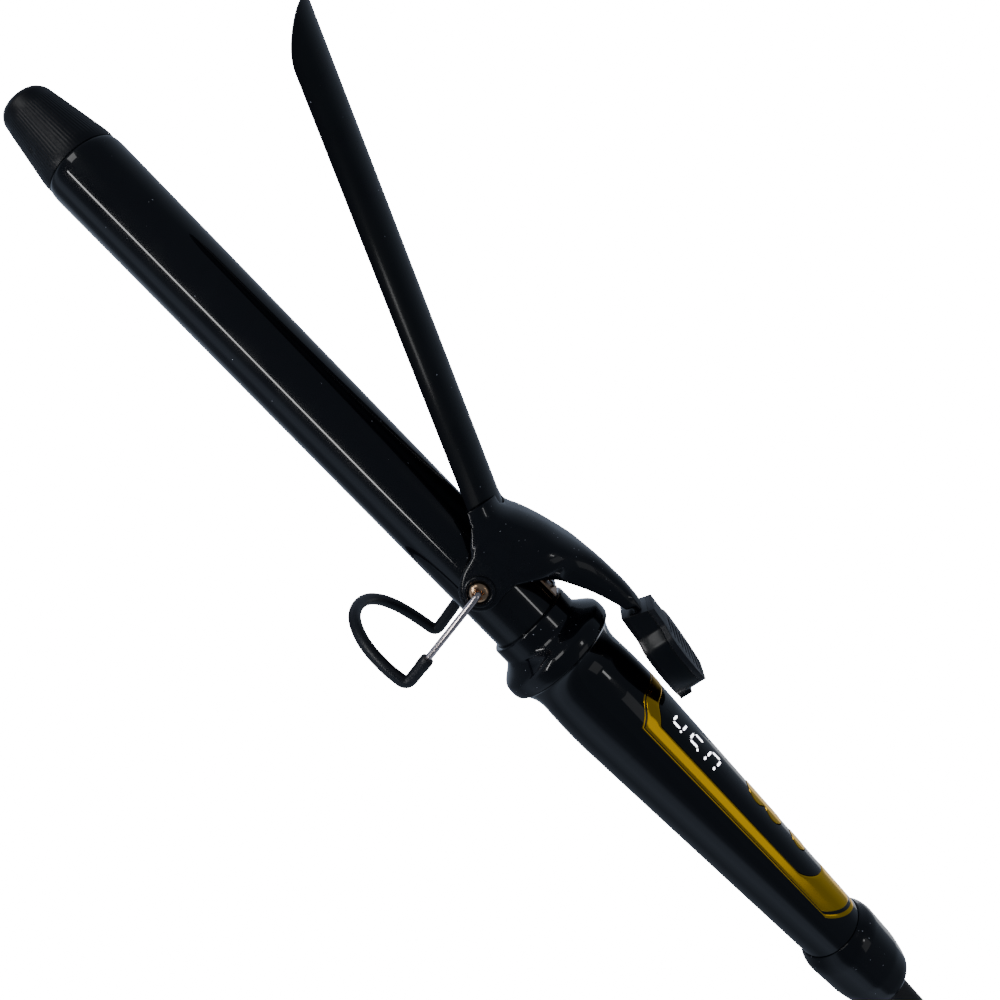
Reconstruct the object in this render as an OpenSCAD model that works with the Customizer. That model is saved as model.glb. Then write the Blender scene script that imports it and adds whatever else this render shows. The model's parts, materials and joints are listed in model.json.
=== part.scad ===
// Curling iron with a spring clip, a wire stand, a temperature display and a swivel cord.
// Lengths are in millimetres. Each sub-part is drawn along its own axis frame, where x runs
// from the cool tip to the cord, z points to the clip side and y runs across; place() then
// tilts the whole iron so that it stands on its wire stand and the edge of its end collar.

/* [Barrel] */
// Outside diameter of the heated barrel
barrel_d = 25; // [22:0.5:32]
// Wall thickness of the barrel tube
barrel_wall = 0.8; // [0.6:0.1:1]
// Length of the cool tip in front of the barrel
tip_l = 23.5; // [20:0.5:28]
// Place of the barrel's rear end, from the tip
barrel_end_x = 222; // [218:1:226]

/* [Clip] */
// Place of the clip's pivot, from the tip
pivot_x = 191.5; // [188:0.5:196]
// Angle that the clip stands open at rest
clip_open = 23; // [15:1:25]
// Length of the clip from its pivot to its nose
clip_l = 171; // [150:1:171]
// Thickness of the clip's sheet
clip_t = 0.8; // [0.6:0.1:1]
// Half of the angle that the clip wraps round the barrel
clip_wrap = 68; // [50:1:75]

/* [Stand] */
// Distance from the pivot's axis down to the stand's bends
stand_drop = 34.7; // [32:0.1:38]
// Length of the toe, from the bends forward
stand_toe = 24; // [20:1:28]
// Diameter of the stand's wire
wire_d = 2.2; // [2:0.1:2.4]
// Outside diameter of the rubber sleeve on the wire
sleeve_d = 4; // [3.6:0.1:4.4]

/* [Handle] */
// Largest radius of the flared guard
guard_r = 19.7; // [18.5:0.1:19.7]
// Radius of the handle behind the guard
handle_front_r = 15.6; // [15.4:0.1:15.8]
// Radius that the handle loses for each millimetre of length
handle_taper = 0.0429; // [0.04:0.001:0.045]
// Wall thickness of the handle
handle_wall = 2; // [1.8:0.1:2.2]

/* [Cord] */
// Diameter of the mains cord
cord_d = 6; // [5.6:0.1:6]
// Length of the straight runs of the folded cord
hank_run = 103; // [90:1:120]

/* [Hidden] */
$fn = 72;

barrel_r = barrel_d / 2;
wire_r = wire_d / 2;
sleeve_r = sleeve_d / 2;
cord_r = cord_d / 2;

// Stations along the axis
guard_x = 211;
rim_x = 225.2;
shell_x = 226.6;
belly_x = 235;
taper_x = 262;
shell_end_x = 357;
collar_x = 357.2;
foot_x = 374.5;
foot_r = 13.2;
collar_end_x = 383;
boot_end_x = 428;
boot_end_r = 4.1;

// Ears, screws and legs across the pivot's axis
ear_y = [13.8, 16.2];
shank_r = 2.5;
head_y = [16.4, 18.2];
leg_y = 19.6;
bend_y = 22;
bend_back = 5;
bend_r = 3;

// The stand rests on its toe and the iron on the foot circle of its end collar
rest_dx = foot_x - pivot_x - bend_back;
rest_dz = stand_drop - foot_r;
tilt = atan2(rest_dz, rest_dx) + asin(sleeve_r / norm([rest_dx, rest_dz]));
place_z = foot_x * sin(tilt) + foot_r * cos(tilt);
tip_front_r = 7.4;
row_low_x = -tip_front_r * sin(tilt);
row_high_x = boot_end_x * cos(tilt) + boot_end_r * sin(tilt);
place_x = -(row_low_x + row_high_x) / 2;

// Panel and trim outlines, seen from above: half angles, ends and the rear's round length
trim_angle = 65.5;
trim_x = [251.2, 340, 352.5];
panel_angle = 50.5;
panel_x = [256.2, 326, 337.8];
fit_gap = 0.12;
window_x = [260, 289];
window_y = 7.3;
digit_z = 12.3;
board_drop = 3.7;
rocker_x = 307.8;
rocker_reach = 4.2;
rocker_r = 4.6;
power_x = 325.2;
power_r = 3.7;
button_gap = 0.35;
pad_tilt = 7;
pad_x = 228.8;
pad_z = 24.2;

// Route of the cord on the ground, from the boot to the hank
hank_gap = 6.2;
hank_in_r = 18.5;
hank_out_r = hank_in_r + hank_gap;
hank_x = 312;
hank_low = 1;
route = [
    [205.2, 0, 7], [212.5, 0, 6.1], [220, 0, 5.2], [228, -0.3, 4.5], [237, -1.6, 4.1],
    [246, -4.1, 4], [255, -7.6, 4], [264, -11.6, 4], [273, -15.6, 4], [282, -19.1, 4],
    [287, -20.9, 4]
];

function handle_r(x) =
    x < belly_x ? handle_front_r + (guard_r - handle_front_r) * pow((belly_x - x) / (belly_x - rim_x), 2.2)
    : x < taper_x ? handle_front_r + 0.47 * sin(180 * (x - belly_x) / (taper_x - belly_x))
    : handle_front_r + 0.05 - handle_taper * (x - taper_x);

function handle_line(x0, x1, off) = [
    for (x = concat([x0], [for (s = [ceil(x0 / 3) * 3 : 3 : min(taper_x, x1 - 1)]) if (s > x0) s], [x1]))
        [handle_r(x) + off, x]
];

// Tilts the iron onto its stand
module place() {
    translate([place_x, 0, place_z])
        rotate([0, tilt, 0])
            children();
}

// Turns a half outline of [radius, x] points round the iron's axis
module turned(points) {
    rotate([0, 90, 0])
        rotate_extrude()
            polygon(points);
}

// A round bar or ring along x
module bar(x0, x1, r, bore = 0) {
    translate([x0, 0, 0])
        rotate([0, 90, 0])
            difference() {
                cylinder(h = x1 - x0, r = r);
                if (bore > 0)
                    translate([0, 0, -1])
                        cylinder(h = x1 - x0 + 2, r = bore);
            }
}

// A round bar along y
module cross_bar(x, z, y0, y1, r) {
    translate([x, y1, z])
        rotate([90, 0, 0])
            cylinder(h = y1 - y0, r = r);
}

module block(x, y, z) {
    translate([x[0], y[0], z[0]])
        cube([x[1] - x[0], y[1] - y[0], z[1] - z[0]]);
}

module both_sides() {
    children();
    mirror([0, 1, 0])
        children();
}

// Opens the clip from its closed place on the barrel
module opened() {
    translate([pivot_x, 0, 0])
        rotate([0, clip_open, 0])
            translate([-pivot_x, 0, 0])
                children();
}

// Joins rings of points, each with the same count, into one closed skin
module skin(rings) {
    n = len(rings[0]);
    m = len(rings);
    points = [for (ring = rings) for (p = ring) p];
    sides = [
        for (j = [0 : m - 2])
            for (i = [0 : n - 1])
                let (a = j * n + i, b = j * n + (i + 1) % n)
                    each [[a, b + n, b], [a, a + n, b + n]]
    ];
    first = [[for (i = [0 : n - 1]) i]];
    last = [[for (i = [n - 1 : -1 : 0]) (m - 1) * n + i]];
    polyhedron(points, concat(first, sides, last));
}

// Tube round a route of points, with a fixed side direction for its rings
function ring_at(p, d, r, n) =
    let (u = d / norm(d), side = cross([0, 0, 1], u), s = side / norm(side), t = cross(u, s))
        [for (i = [0 : n - 1]) p + r * (cos(360 * i / n) * s + sin(360 * i / n) * t)];

function route_way(pts, i) = pts[min(i + 1, len(pts) - 1)] - pts[max(i - 1, 0)];

module tube(pts, r, n) {
    skin([for (i = [0 : len(pts) - 1]) ring_at(pts[i], route_way(pts, i), r, n)]);
}

// ---- Barrel ----

module barrel_tube() {
    color([0.03, 0.035, 0.06])
        place()
            turned([
                [barrel_r - 0.5, tip_l], [barrel_r - 0.15, tip_l + 1], [barrel_r, tip_l + 3],
                [barrel_r, barrel_end_x], [barrel_r - barrel_wall, barrel_end_x],
                [barrel_r - barrel_wall, tip_l]
            ]);
}

module cool_tip() {
    spigot_r = barrel_r - barrel_wall - 0.1;
    color([0.04, 0.045, 0.06])
        place()
            turned([
                [0, 0], [tip_front_r - 0.4, 0], [tip_front_r, 0.4], [8.2, 1.6], [8.6, 3.5], [11.7, 19],
                [12.05, 21.5], [12.05, tip_l - 0.1], [spigot_r, tip_l - 0.1], [spigot_r, tip_l + 11],
                [6.2, tip_l + 11], [6.2, 6], [0, 6]
            ]);
}

module heat_spreader(low) {
    intersection() {
        bar(44, 186, barrel_r - barrel_wall - 0.15);
        block([40, 190], [-15, 15], low ? [-15, -1.3] : [1.3, 15]);
    }
}

module heat_spreader_upper() {
    color("silver")
        place()
            difference() {
                heat_spreader(false);
                block([120, 132], [-3, 3], [1, 4.2]);
            }
}

module heat_spreader_lower() {
    color("silver")
        place()
            heat_spreader(true);
}

module ceramic_heater() {
    color("white")
        place()
            block([50, 180], [-7, 7], [-1.2, 1.2]);
}

module temperature_sensor() {
    color("white")
        place()
            translate([0, 0, 2.5])
                bar(122, 130, 1.1);
}

module thermal_fuse() {
    color([0.9, 0.9, 0.85])
        place()
            translate([0, 0, -6])
                bar(229, 241, 2);
}

module heater_leads() {
    color("white")
        place()
            both_sides()
                translate([0, 3.4, 0])
                    bar(180.2, 356, 0.9);
}

module barrel_insulator() {
    color([0.9, 0.88, 0.8])
        place()
            difference() {
                bar(214, 218, barrel_r - barrel_wall - 0.1);
                both_sides()
                    translate([0, 3.4, 0])
                        bar(213, 219, 1.1);
            }
}

// ---- Pivot ----

module pivot_bosses() {
    color("silver")
        place()
            both_sides()
                difference() {
                    cross_bar(pivot_x, 0, barrel_r - 1.6, ear_y[0] - 0.3, 4.4);
                    bar(pivot_x - 8, pivot_x + 8, barrel_r + 0.02);
                    cross_bar(pivot_x, 0, 0, 20, shank_r + 0.05);
                }
}

module pivot_screws() {
    color([0.75, 0.65, 0.5])
        place()
            both_sides()
                difference() {
                    union() {
                        cross_bar(pivot_x, 0, barrel_r + 0.1, head_y[0], shank_r);
                        cross_bar(pivot_x, 0, head_y[0], head_y[1], 3.05);
                    }
                    cross_bar(pivot_x, 0, 14.4, 20, wire_r + 0.03);
                }
}

// ---- Clip ----

// The pair of rivets at the blade's rear
module rivets(r, h) {
    for (side = [-1, 1])
        rotate([-side * 24, 0, 0])
            translate([pivot_x - 19.5, 0, barrel_r + 0.1])
                cylinder(h = h, r = r);
}

module clip_blade() {
    blade_r = barrel_r + 0.3;
    nose_l = 20;
    nose_w = (blade_r + clip_t) * sin(clip_wrap) + 0.1;
    rear_x = pivot_x - 18;
    nose_x = pivot_x - clip_l;
    plan = concat(
        [for (a = [-90 : 6 : 90]) [nose_x + nose_l * (1 - cos(a)), nose_w * sin(a)]],
        [[rear_x, nose_w], [rear_x, -nose_w]]
    );
    color([0.03, 0.035, 0.05])
        place()
            opened()
                difference() {
                    intersection() {
                        rotate([0, 90, 0])
                            rotate([0, 0, 180 - clip_wrap])
                                rotate_extrude(angle = 2 * clip_wrap)
                                    polygon([
                                        [blade_r, nose_x - 1], [blade_r + clip_t, nose_x - 1],
                                        [blade_r + clip_t, rear_x + 1], [blade_r, rear_x + 1]
                                    ]);
                        linear_extrude(20)
                            polygon(plan);
                    }
                    rivets(1.24, 3);
                }
}

// Arch-shaped ring: its crown at [x, z], its foot at [x, z], and its half width
function arch(crown, foot, w) = [
    for (i = [0 : 16])
        let (a = 180 * i / 16, h = pow(sin(a), 0.75), c = cos(a), side = sign(c) * pow(abs(c), 0.75))
            [foot[0] + (crown[0] - foot[0]) * h, w * side, foot[1] + (crown[1] - foot[1]) * h]
];

module saddle_body() {
    skin([
        arch([174.6, 21.6], [171.8, 13.2], 13.3),
        arch([178.4, 20.6], [176.4, 10.5], 14.1),
        arch([183, 22.9], [181.5, 6], 15.6),
        arch([188.5, 25.1], [187.5, 4], 16),
        arch([193, 26.5], [192.6, 4], 16),
        arch([197, 27.5], [197.3, 9], 15.9),
        arch([201, 28.5], [201.6, 14.6], 13.6),
        arch([206, 29.4], [206, 17.6], 9.6),
        arch([211, 30.1], [210.6, 19.5], 7.4),
        arch([217, 30.5], [216.4, 22], 6.2),
        arch([223, 30.7], [222.5, 24], 5.4),
        arch([229.8, 30.2], [228.4, 25.6], 4.9)
    ]);
}

// Space that the barrel sweeps inside the clip as the clip opens and closes
module barrel_sweep() {
    clear_r = barrel_r + 0.3;
    bar(pivot_x - 40, pivot_x + 2, clear_r);
    bar(pivot_x + 1, pivot_x + 40, clear_r + 0.9);
    opened()
        bar(pivot_x - 17.9, pivot_x, clear_r);
    opened()
        bar(pivot_x - 40, pivot_x - 17.8, clear_r + clip_t + 0.1);
    translate([0, clear_r - 0.1, 0])
        rotate([90, 0, 0])
            linear_extrude(2 * clear_r - 0.2)
                polygon([
                    [pivot_x + 1, 0], [pivot_x - 40, -1], [pivot_x - 40, 40 * tan(clip_open)],
                    [pivot_x, 1]
                ]);
}

module ear_outline() {
    polygon([
        [180, 12], [182.6, 5], [184.6, -1], [187.6, -5], [191.5, -6.6], [195.4, -5.4],
        [197.8, -2.2], [198.2, 1.5], [197.4, 6], [197.6, 12]
    ]);
}

module clip_saddle() {
    color([0.05, 0.055, 0.08])
        place()
            difference() {
                union() {
                    saddle_body();
                    both_sides()
                        translate([0, ear_y[1], 0])
                            rotate([90, 0, 0])
                                linear_extrude(ear_y[1] - ear_y[0] + 0.2)
                                    ear_outline();
                    translate([226, 0, pad_z + 4.65])
                        rotate([0, pad_tilt, 0])
                            block([0, 23], [-4, 4], [-1.2, 1.2]);
                }
                barrel_sweep();
                // the ears' inner faces clear the bosses
                block([178, 203], [-ear_y[0], ear_y[0]], [-12, 11.5]);
                // room for the spring under the lever
                block([197.2, 211], [-6, 6], [10, 22.6]);
                cross_bar(pivot_x, 0, -20, 20, shank_r + 0.08);
                // a hole for the pad's screw, through the tongue
                translate([pad_x, 0, pad_z])
                    rotate([0, pad_tilt, 0])
                        translate([13.2, 0, 1])
                            cylinder(h = 6, r = 1.3);
            }
}

module blade_rivets() {
    color("silver")
        place()
            opened()
                rivets(1.2, 0.9);
}

module pad_frame() {
    place()
        translate([pad_x, 0, pad_z])
            rotate([0, pad_tilt, 0])
                children();
}

// The pad between two heights: narrow in front, flared to a wide grip, with a front that leans back
module pad_slab(z0, z1) {
    half = [[0, 6.6], [8.6, 7.2], [11.6, 11], [15, 11.8], [20, 11.4], [25, 9.8], [29, 7.9], [30.9, 6.8]];
    intersection() {
        translate([0, 0, z0])
            linear_extrude(z1 - z0)
                polygon(concat(half, [for (i = [len(half) - 1 : -1 : 0]) [half[i][0], -half[i][1]]]));
        translate([0, 13, 0])
            rotate([90, 0, 0])
                linear_extrude(26)
                    polygon([[0, -1.2], [31, -1.2], [31, 8.8], [2.9, 8.8]]);
    }
}

module thumb_pad_base() {
    color([0.03, 0.03, 0.04])
        pad_frame()
            difference() {
                union() {
                    pad_slab(-1.2, 6.9);
                    block([30.5, 32.2], [-6.3, 6.3], [-1.2, 3]);
                }
                block([-1, 21], [-4.15, 4.15], [2.95, 5.6]);
                translate([13.2, 0, -2])
                    cylinder(h = 10, r = 1.3);
                translate([13.2, 0, -2])
                    cylinder(h = 3.2, r = 2.3);
            }
}

module thumb_pad_cap() {
    color([0.06, 0.065, 0.08])
        pad_frame()
            difference() {
                pad_slab(7, 8.8);
                for (x = [12 : 2 : 28])
                    block([x, x + 0.8], [-5.6, 5.6], [8.3, 10]);
                translate([13.2, 0, 6])
                    cylinder(h = 1.6, r = 1.05);
            }
}

module pad_screw() {
    color("silver")
        pad_frame()
            translate([13.2, 0, 0.2])
                union() {
                    cylinder(h = 0.95, r = 2.1);
                    cylinder(h = 6.9, r = 1);
                }
}

// ---- Lever spring ----

module clip_spring() {
    color([0.72, 0.5, 0.25])
        place()
            difference() {
                union() {
                    rotate([0, 90, 0])
                        rotate([0, 0, 180 - 27])
                            rotate_extrude(angle = 54)
                                polygon([
                                    [barrel_r + 0.1, 200.5], [barrel_r + 0.55, 200.5],
                                    [barrel_r + 0.55, 210.6], [barrel_r + 0.1, 210.6]
                                ]);
                    intersection() {
                        translate([201, 4.5, barrel_r + 2.25])
                            rotate([90, 0, 0])
                                difference() {
                                    cylinder(h = 9, r = 2.3);
                                    translate([0, 0, -1])
                                        cylinder(h = 11, r = 1.8);
                                }
                        block([195, 201.1], [-5, 5], [barrel_r - 0.5, 20]);
                    }
                    translate([201, -4.5, barrel_r + 4.05])
                        rotate([0, -18, 0])
                            cube([9, 9, 0.5]);
                }
                translate([206.4, 0, 10])
                    cylinder(h = 4, r = 1.6);
            }
}

module spring_screw() {
    color([0.85, 0.85, 0.85])
        place()
            translate([206.4, 0, barrel_r + 0.6])
                cylinder(h = 1.7, r = 2.6);
}

// ---- Stand ----

// Half of the wire's centre line, from the pivot to the middle of the toe
stand_half = concat(
    [[pivot_x - 0.2, -leg_y + 0.1, 1.6]],
    [[pivot_x + 0.7, -leg_y - 0.35, -5], [pivot_x + 2.1, -20.6, -13], [pivot_x + 3.9, -bend_y + 0.7, -25]],
    [for (a = [0 : 30 : 90])
        [pivot_x + bend_back - bend_r * (1 - cos(a)) * cos(tilt), -bend_y,
         -stand_drop + bend_r - bend_r * sin(a)]],
    [for (a = [18 : 12 : 90])
        let (back = stand_toe * pow(sin(a), 0.77))
            [pivot_x + bend_back - back * cos(tilt), -bend_y * cos(a), -stand_drop - back * sin(tilt)]]
);

function flip(pts) = [for (i = [len(pts) - 1 : -1 : 0]) [pts[i][0], -pts[i][1], pts[i][2]]];

// Drops points that lie closer than a gap to the one before
function sparse(pts, gap, i = 1, kept = undef) =
    let (have = kept == undef ? [pts[0]] : kept)
        i == len(pts) ? have
        : sparse(pts, gap, i + 1, norm(pts[i] - have[len(have) - 1]) > gap ? concat(have, [pts[i]]) : have);

stand_line = concat(sparse(stand_half, 1.2), flip(sparse(stand_half, 1.2)));

// Tube whose rings turn with the route, for a wire that runs in every direction
function carried(pts, r, n) = [
    for (
        i = 0,
            d = route_way(pts, 0) / norm(route_way(pts, 0)),
            s0 = cross(d, [1, 0, 0]),
            s = s0 / norm(s0);
        i < len(pts);
        i = i + 1,
            d = i < len(pts) ? route_way(pts, i) / norm(route_way(pts, i)) : d,
            s1 = s - (s * d) * d,
            s = s1 / norm(s1)
    )
        [for (k = [0 : n - 1]) pts[i] + r * (cos(360 * k / n) * s + sin(360 * k / n) * cross(d, s))]
];

// The sleeve reaches higher up the leg on the far side
function sleeved(pts) = [for (p = pts) if (p[2] < (p[1] > 0 ? -12 : -24)) p];

module stand_wire() {
    color("silver")
        place()
            union() {
                skin(carried(stand_line, wire_r, 12));
                both_sides()
                    cross_bar(pivot_x, 0, 14.7, leg_y, wire_r - 0.05);
            }
}

module stand_sleeve() {
    color([0.03, 0.03, 0.04])
        place()
            skin(carried(sleeved(stand_line), sleeve_r, 12));
}

// ---- Guard and handle ----

module heat_guard() {
    color([0.04, 0.045, 0.06])
        place()
            turned([
                [barrel_r + 0.1, guard_x], [13.75, guard_x], [14.15, guard_x + 0.4],
                [14.15, 216.6], [14.6, 217.2], [16.1, 218.7], [17.7, 220], [19, 221.2],
                [19.55, 222], [guard_r, 223.4], [guard_r, rim_x], [19.2, shell_x - 0.1],
                [13.3, shell_x - 0.1], [13.3, barrel_end_x + 0.2], [barrel_r + 0.1, barrel_end_x + 0.2]
            ]);
}

module handle_band(x0, x1, inner, outer) {
    turned(concat(
        handle_line(x0, x1, outer),
        [for (p = [0 : len(handle_line(x0, x1, inner)) - 1])
            handle_line(x0, x1, inner)[len(handle_line(x0, x1, inner)) - 1 - p]]
    ));
}

// Wedge of the handle's top between two equal angles from the crown
module top_wedge(angle, x0, x1) {
    reach = 30;
    translate([x0, 0, 0])
        rotate([90, 0, 90])
            linear_extrude(x1 - x0)
                polygon([
                    [0, 0], [reach * sin(angle), reach * cos(angle)], [reach, reach],
                    [-reach, reach], [-reach * sin(angle), reach * cos(angle)]
                ]);
}

// Plan of the trim's outer edge: bevelled front corners and an elliptical rear
module trim_plan(grow) {
    linear_extrude(30)
        polygon(concat(
            [[trim_x[0] - grow, -10.4], [257 - grow, -14.3], [257 - grow, -20], [trim_x[1], -20]],
            [for (a = [-90 : 10 : 90])
                [trim_x[1] + (trim_x[2] - trim_x[1] + grow) * cos(a), (11.5 + grow) * sin(a)]],
            [[trim_x[1], 20], [257 - grow, 20], [257 - grow, 14.3], [trim_x[0] - grow, 10.4]]
        ));
}

// Plan of the panel's edge, inside the trim
module panel_plan(grow) {
    linear_extrude(30)
        polygon(concat(
            [[panel_x[0] - grow, -8.4], [261 - grow, -11.9], [261 - grow, -20], [panel_x[1], -20]],
            [for (a = [-90 : 10 : 90])
                [panel_x[1] + (panel_x[2] - panel_x[1] + grow) * cos(a), (10 + grow) * sin(a)]],
            [[panel_x[1], 20], [261 - grow, 20], [261 - grow, 11.9], [panel_x[0] - grow, 8.4]]
        ));
}

module trim_region(grow) {
    intersection() {
        top_wedge(trim_angle + 3.6 * grow, 248, 356);
        trim_plan(grow);
    }
}

module panel_region(grow) {
    intersection() {
        top_wedge(panel_angle + 3.6 * grow, 252, 342);
        panel_plan(grow);
    }
}

module handle_shell() {
    color([0.03, 0.035, 0.05])
        place()
            difference() {
                handle_band(shell_x, shell_end_x, -handle_wall, 0);
                trim_region(fit_gap);
            }
}

module gold_trim() {
    color("gold")
        place()
            difference() {
                intersection() {
                    handle_band(248, 356, -handle_wall + 0.2, 0.08);
                    trim_region(0);
                }
                panel_region(fit_gap);
            }
}

// Turns a flat piece on the panel to the handle's taper
module on_panel(x, drop = 0) {
    translate([x, 0, drop - handle_taper * (x - taper_x)])
        rotate([0, atan(handle_taper), 0])
            children();
}

module rocker_outline(grow) {
    linear_extrude(8)
        union() {
            for (side = [-1, 1])
                translate([side * rocker_reach, 0])
                    circle(r = rocker_r + grow);
            square([2 * rocker_reach, 2 * (2.7 + grow)], center = true);
        }
}

module control_panel() {
    color([0.03, 0.03, 0.04])
        place()
            difference() {
                intersection() {
                    handle_band(252, 342, -handle_wall + 0.2, 0);
                    panel_region(0);
                }
                block(window_x, [-window_y, window_y], [5, 20]);
                on_panel(rocker_x, 9)
                    rocker_outline(button_gap);
                on_panel(power_x, 9)
                    cylinder(h = 8, r = power_r + button_gap);
            }
}

module display_window() {
    color([0.03, 0.03, 0.04])
        place()
            intersection() {
                handle_band(252, 342, -1.5, 0);
                block([window_x[0] + 0.1, window_x[1] - 0.1], [0.1 - window_y, window_y - 0.1], [5, 20]);
            }
}

module display_module() {
    color([0.08, 0.08, 0.08])
        place()
            on_panel(taper_x, digit_z)
                block([-1.6, 26.6], [-6, 6], [-3.4, -0.1]);
}

module circuit_board() {
    color([0.1, 0.35, 0.15])
        place()
            on_panel(taper_x, digit_z - board_drop)
                difference() {
                    block([-2, 74], [-7, 7], [-1.4, 0]);
                    for (x = [38, 71])
                        translate([x, 4.5, -2])
                            cylinder(h = 3, r = 1.1);
                }
}

module board_screws() {
    color("silver")
        place()
            on_panel(taper_x, digit_z - board_drop)
                for (x = [38, 71])
                    translate([x, 4.5, -4])
                        union() {
                            cylinder(h = 4.05, r = 1);
                            translate([0, 0, 4.05])
                                cylinder(h = 0.7, r = 1.8);
                        }
}

module tact_switches() {
    color([0.3, 0.3, 0.3])
        place()
            on_panel(taper_x, digit_z - board_drop)
                for (x = [rocker_x - 5.5 - taper_x, rocker_x + 5.5 - taper_x, power_x - taper_x])
                    translate([x, 0, 0.05])
                        union() {
                            block([-2, 2], [-2, 2], [0, 0.9]);
                            cylinder(h = 1.2, r = 0.9);
                        }
}

module temperature_button() {
    color("gold")
        place()
            union() {
                intersection() {
                    on_panel(rocker_x, 10.7)
                        rocker_outline(0);
                    handle_band(290, 340, -8, 0.35);
                }
                cross_bar(rocker_x, 10.2, -4, 4, 0.5);
            }
}

module power_button() {
    color("gold")
        place()
            intersection() {
                on_panel(power_x, 10.7)
                    cylinder(h = 8, r = power_r);
                handle_band(290, 340, -8, 0.35);
            }
}

// ---- End collar, swivel and boot ----

module end_collar() {
    color([0.03, 0.035, 0.05])
        place()
            turned([
                [8, 351], [9.2, 351], [9.2, collar_x], [11.9, collar_x], [12.4, 358.3], [13.5, 360.4],
                [13.86, 362.4], [foot_r, foot_x], [12.1, 380.2], [11.5, 382.2], [10.6, collar_end_x],
                [6.08, collar_end_x], [6.08, 379.4], [8.8, 379.4], [8.8, 358], [8, 358]
            ]);
}

module contact_brushes() {
    color([0.8, 0.6, 0.3])
        place()
            for (x = [363, 369])
                translate([x, 0, 0])
                    block([0, 2.4], [-3, 3], [6.6, 7.4]);
}

module swivel_core() {
    color("white")
        place()
            difference() {
                bar(359.4, 375.8, 6.2);
                bar(362.6, 365.8, 8, 5.4);
                bar(368.6, 371.8, 8, 5.4);
                bar(372.9, 380, 3.2);
            }
}

module contact_rings() {
    color([0.85, 0.65, 0.3])
        place()
            for (x = [362.7, 368.7])
                bar(x, x + 3, 6.5, 5.45);
}

module cord_boot() {
    color([0.09, 0.08, 0.08])
        place()
            turned([
                [3.2, 376], [8.4, 376], [8.4, 379.2], [6, 379.2], [6, collar_end_x + 0.4],
                [5.9, 389], [5.2, 408], [boot_end_r + 0.2, boot_end_x - 1], [boot_end_r, boot_end_x],
                [3.3, boot_end_x], [3.3, 420], [3.2, 419]
            ]);
}

// ---- Cord ----

module power_cord() {
    color([0.05, 0.05, 0.05])
        tube(route, cord_r, 10);
}

module racetrack(r) {
    hull()
        for (x = [hank_x, hank_x + hank_run])
            translate([x, 0])
                circle(r = r);
}

module cord_hank() {
    color([0.05, 0.05, 0.05])
        translate([0, 0, hank_low])
            linear_extrude(2 * hank_gap + cord_d)
                difference() {
                    racetrack(hank_out_r + cord_r);
                    racetrack(hank_in_r - cord_r);
                }
}

module cord_ties() {
    low = hank_in_r - cord_r - 0.1;
    high = hank_out_r + cord_r + 0.1;
    color([0.1, 0.1, 0.1])
        for (side = [-1, 1])
            translate([hank_x + hank_run / 2, side * (low + high) / 2, (2 * hank_gap + cord_d) / 2 + hank_low])
                difference() {
                    cube([8, high - low + 1.6, 2 * hank_gap + cord_d + 1.8], center = true);
                    cube([9, high - low, 2 * hank_gap + cord_d + 0.1], center = true);
                }
}

plug_x = hank_x + 72;
plug_z = 8.2;

module plug_body() {
    color([0.05, 0.05, 0.05])
        translate([plug_x, 0, plug_z])
            hull() {
                block([0, 1], [-5, 5], [-4.5, 4.5]);
                block([9, 24], [-11, 11], [-7.5, 7.5]);
            }
}

module plug_blades() {
    color("silver")
        both_sides()
            translate([plug_x + 24, 6.35, plug_z])
                block([0, 17.5], [-0.75, 0.75], [-3.2, 3.2]);
}

barrel_tube();
cool_tip();
ceramic_heater();
heat_spreader_upper();
heat_spreader_lower();
temperature_sensor();
thermal_fuse();
heater_leads();
barrel_insulator();
pivot_bosses();
pivot_screws();
heat_guard();
handle_shell();
gold_trim();
control_panel();
display_window();
display_module();
circuit_board();
board_screws();
tact_switches();
temperature_button();
power_button();
end_collar();
contact_brushes();
swivel_core();
contact_rings();
cord_boot();
clip_blade();
clip_saddle();
blade_rivets();
thumb_pad_base();
thumb_pad_cap();
pad_screw();
clip_spring();
spring_screw();
stand_wire();
stand_sleeve();
power_cord();
cord_hank();
cord_ties();
plug_body();
plug_blades();
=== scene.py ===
import json
import math

import bmesh
import bpy
from mathutils import Matrix, Vector


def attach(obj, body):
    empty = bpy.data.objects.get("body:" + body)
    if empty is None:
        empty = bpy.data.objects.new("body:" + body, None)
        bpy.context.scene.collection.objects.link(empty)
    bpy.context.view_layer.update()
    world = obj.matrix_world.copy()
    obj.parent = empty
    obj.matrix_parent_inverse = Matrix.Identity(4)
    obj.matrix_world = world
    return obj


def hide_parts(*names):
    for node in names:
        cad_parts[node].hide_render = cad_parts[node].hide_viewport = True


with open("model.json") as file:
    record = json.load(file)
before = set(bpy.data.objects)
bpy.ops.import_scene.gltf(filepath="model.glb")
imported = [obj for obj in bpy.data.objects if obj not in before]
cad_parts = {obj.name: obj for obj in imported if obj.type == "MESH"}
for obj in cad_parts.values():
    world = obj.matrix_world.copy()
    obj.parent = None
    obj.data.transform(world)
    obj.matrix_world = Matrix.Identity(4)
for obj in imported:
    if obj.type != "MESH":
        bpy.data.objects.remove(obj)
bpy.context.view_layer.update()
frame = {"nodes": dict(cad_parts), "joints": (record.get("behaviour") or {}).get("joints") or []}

# The curling iron is built in its own axis frame, in millimetres: x runs from the cool tip to
# the cord, z points to the clip side and y runs across. PLACE stands it on its wire stand.
MM = 0.001
joints = {j["name"]: j for j in frame["joints"]}
along = Vector(joints["cord_swivel"]["axis"])
TILT = math.atan2(-along.z, along.x)
PIVOT_X = 191.5
pivot = Vector(joints["clip_hinge"]["pos_m"])
PLACE = (
    Matrix.Translation(pivot)
    @ Matrix.Rotation(TILT, 4, "Y")
    @ Matrix.Translation((-PIVOT_X * MM, 0, 0))
)

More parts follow.
